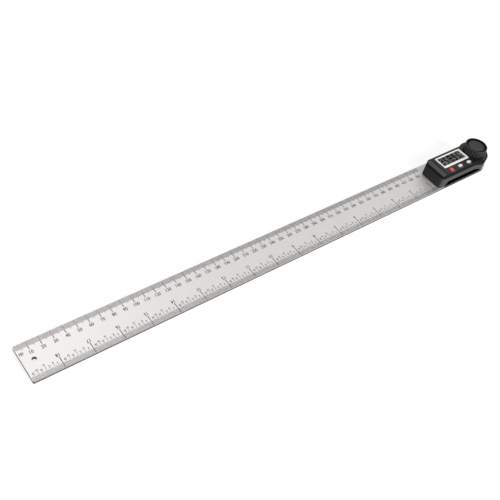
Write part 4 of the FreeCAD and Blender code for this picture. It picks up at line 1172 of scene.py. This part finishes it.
class BuildStage(bpy.types.Operator):
    """Lay the pale floor, set the lamps and place the camera"""
    bl_idname = "angle_finder.stage"
    bl_label = "Floor, lamps and camera"

    def execute(self, context):
        scene = context.scene
        shape = bmesh.new()
        bmesh.ops.create_grid(shape, x_segments=1, y_segments=1, size=FLOOR_REACH)
        floor = bpy.data.objects.new("floor", plain_mesh(shape, "floor"))
        floor.location.z = -FLOOR_DROP
        scene.collection.objects.link(floor)
        # matt paper: it keeps the shadow, and glows so that it looks white
        paper, tree, shader = surface("White paper floor", linear("#A0A0A0"), 0.0, 0.9,
                                      **{"Specular IOR Level": 0.1, "Emission Color": WHITE})
        glow = add(tree, "ShaderNodeMath", {0: backdrop_rays(tree), 1: FLOOR_GLOW},
                   operation="MULTIPLY")
        tree.links.new(glow.outputs["Value"], shader.inputs["Emission Strength"])
        floor.data.materials.append(paper)

        world = bpy.data.worlds.new("Studio")
        scene.world = world
        world.use_nodes = True
        tree = world.node_tree
        tree.nodes.clear()
        strength = add(tree, "ShaderNodeMapRange",
                       {"Value": backdrop_rays(tree), "To Min": WORLD_LIGHT, "To Max": 1.0})
        back = add(tree, "ShaderNodeBackground",
                   {"Color": WHITE, "Strength": strength.outputs["Result"]})
        add(tree, "ShaderNodeOutputWorld", {"Surface": back.outputs["Background"]})

        for name, place, aim, size, power in LAMPS:
            lamp = bpy.data.lights.new(name, "AREA")
            lamp.shape = "DISK"
            lamp.size = size
            lamp.energy = power
            holder = bpy.data.objects.new(name, lamp)
            holder.location = place
            away = Vector(place) - Vector(aim)
            holder.rotation_euler = away.to_track_quat("Z", "Y").to_euler()
            scene.collection.objects.link(holder)

        data = bpy.data.cameras.new("camera")
        data.lens = CAMERA_LENS
        data.sensor_width = CAMERA_SENSOR
        camera = bpy.data.objects.new("camera", data)
        camera.location = CAMERA_PLACE
        camera.rotation_euler = Euler([math.radians(turn) for turn in CAMERA_TURN])
        scene.collection.objects.link(camera)
        scene.camera = camera
        scene.view_settings.view_transform = "Standard"
        return {"FINISHED"}


# ---------------------------------------------------------------- add-on


OPERATORS = (BuildArms, BuildShells, BuildDisplay, BuildButtons, BuildKnob, BuildInside,
             BuildStage)


class AnglePanel(bpy.types.Panel):
    """Lists the steps that build the angle finder"""
    bl_idname = "VIEW3D_PT_angle_finder"
    bl_label = "Angle finder"
    bl_space_type = "VIEW_3D"
    bl_region_type = "UI"
    bl_category = "Angle finder"

    def draw(self, context):
        for operator in OPERATORS:
            self.layout.operator(operator.bl_idname)
        for group in (context.scene.angle_finder_scales, context.scene.angle_finder_head,
                      context.scene.angle_finder_finishes):
            for name in group.bl_rna.properties.keys():
                if name not in ("rna_type", "name"):
                    self.layout.prop(group, name)


CLASSES = (ScaleSizes, HeadSizes, Finishes, *OPERATORS, AnglePanel)


def register():
    for item in CLASSES:
        bpy.utils.register_class(item)
    bpy.types.Scene.angle_finder_scales = PointerProperty(type=ScaleSizes)
    bpy.types.Scene.angle_finder_head = PointerProperty(type=HeadSizes)
    bpy.types.Scene.angle_finder_finishes = PointerProperty(type=Finishes)


def unregister():
    del bpy.types.Scene.angle_finder_scales
    del bpy.types.Scene.angle_finder_head
    del bpy.types.Scene.angle_finder_finishes
    for item in reversed(CLASSES):
        bpy.utils.unregister_class(item)


def main():
    """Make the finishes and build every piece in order."""
    register()
    FINISHES.update(make_finishes())
    bpy.ops.angle_finder.arms()
    bpy.ops.angle_finder.shells()
    bpy.ops.angle_finder.display()
    bpy.ops.angle_finder.buttons()
    bpy.ops.angle_finder.knob()
    bpy.ops.angle_finder.inside()
    bpy.ops.angle_finder.stage()


if __name__ == "__main__":
    main()
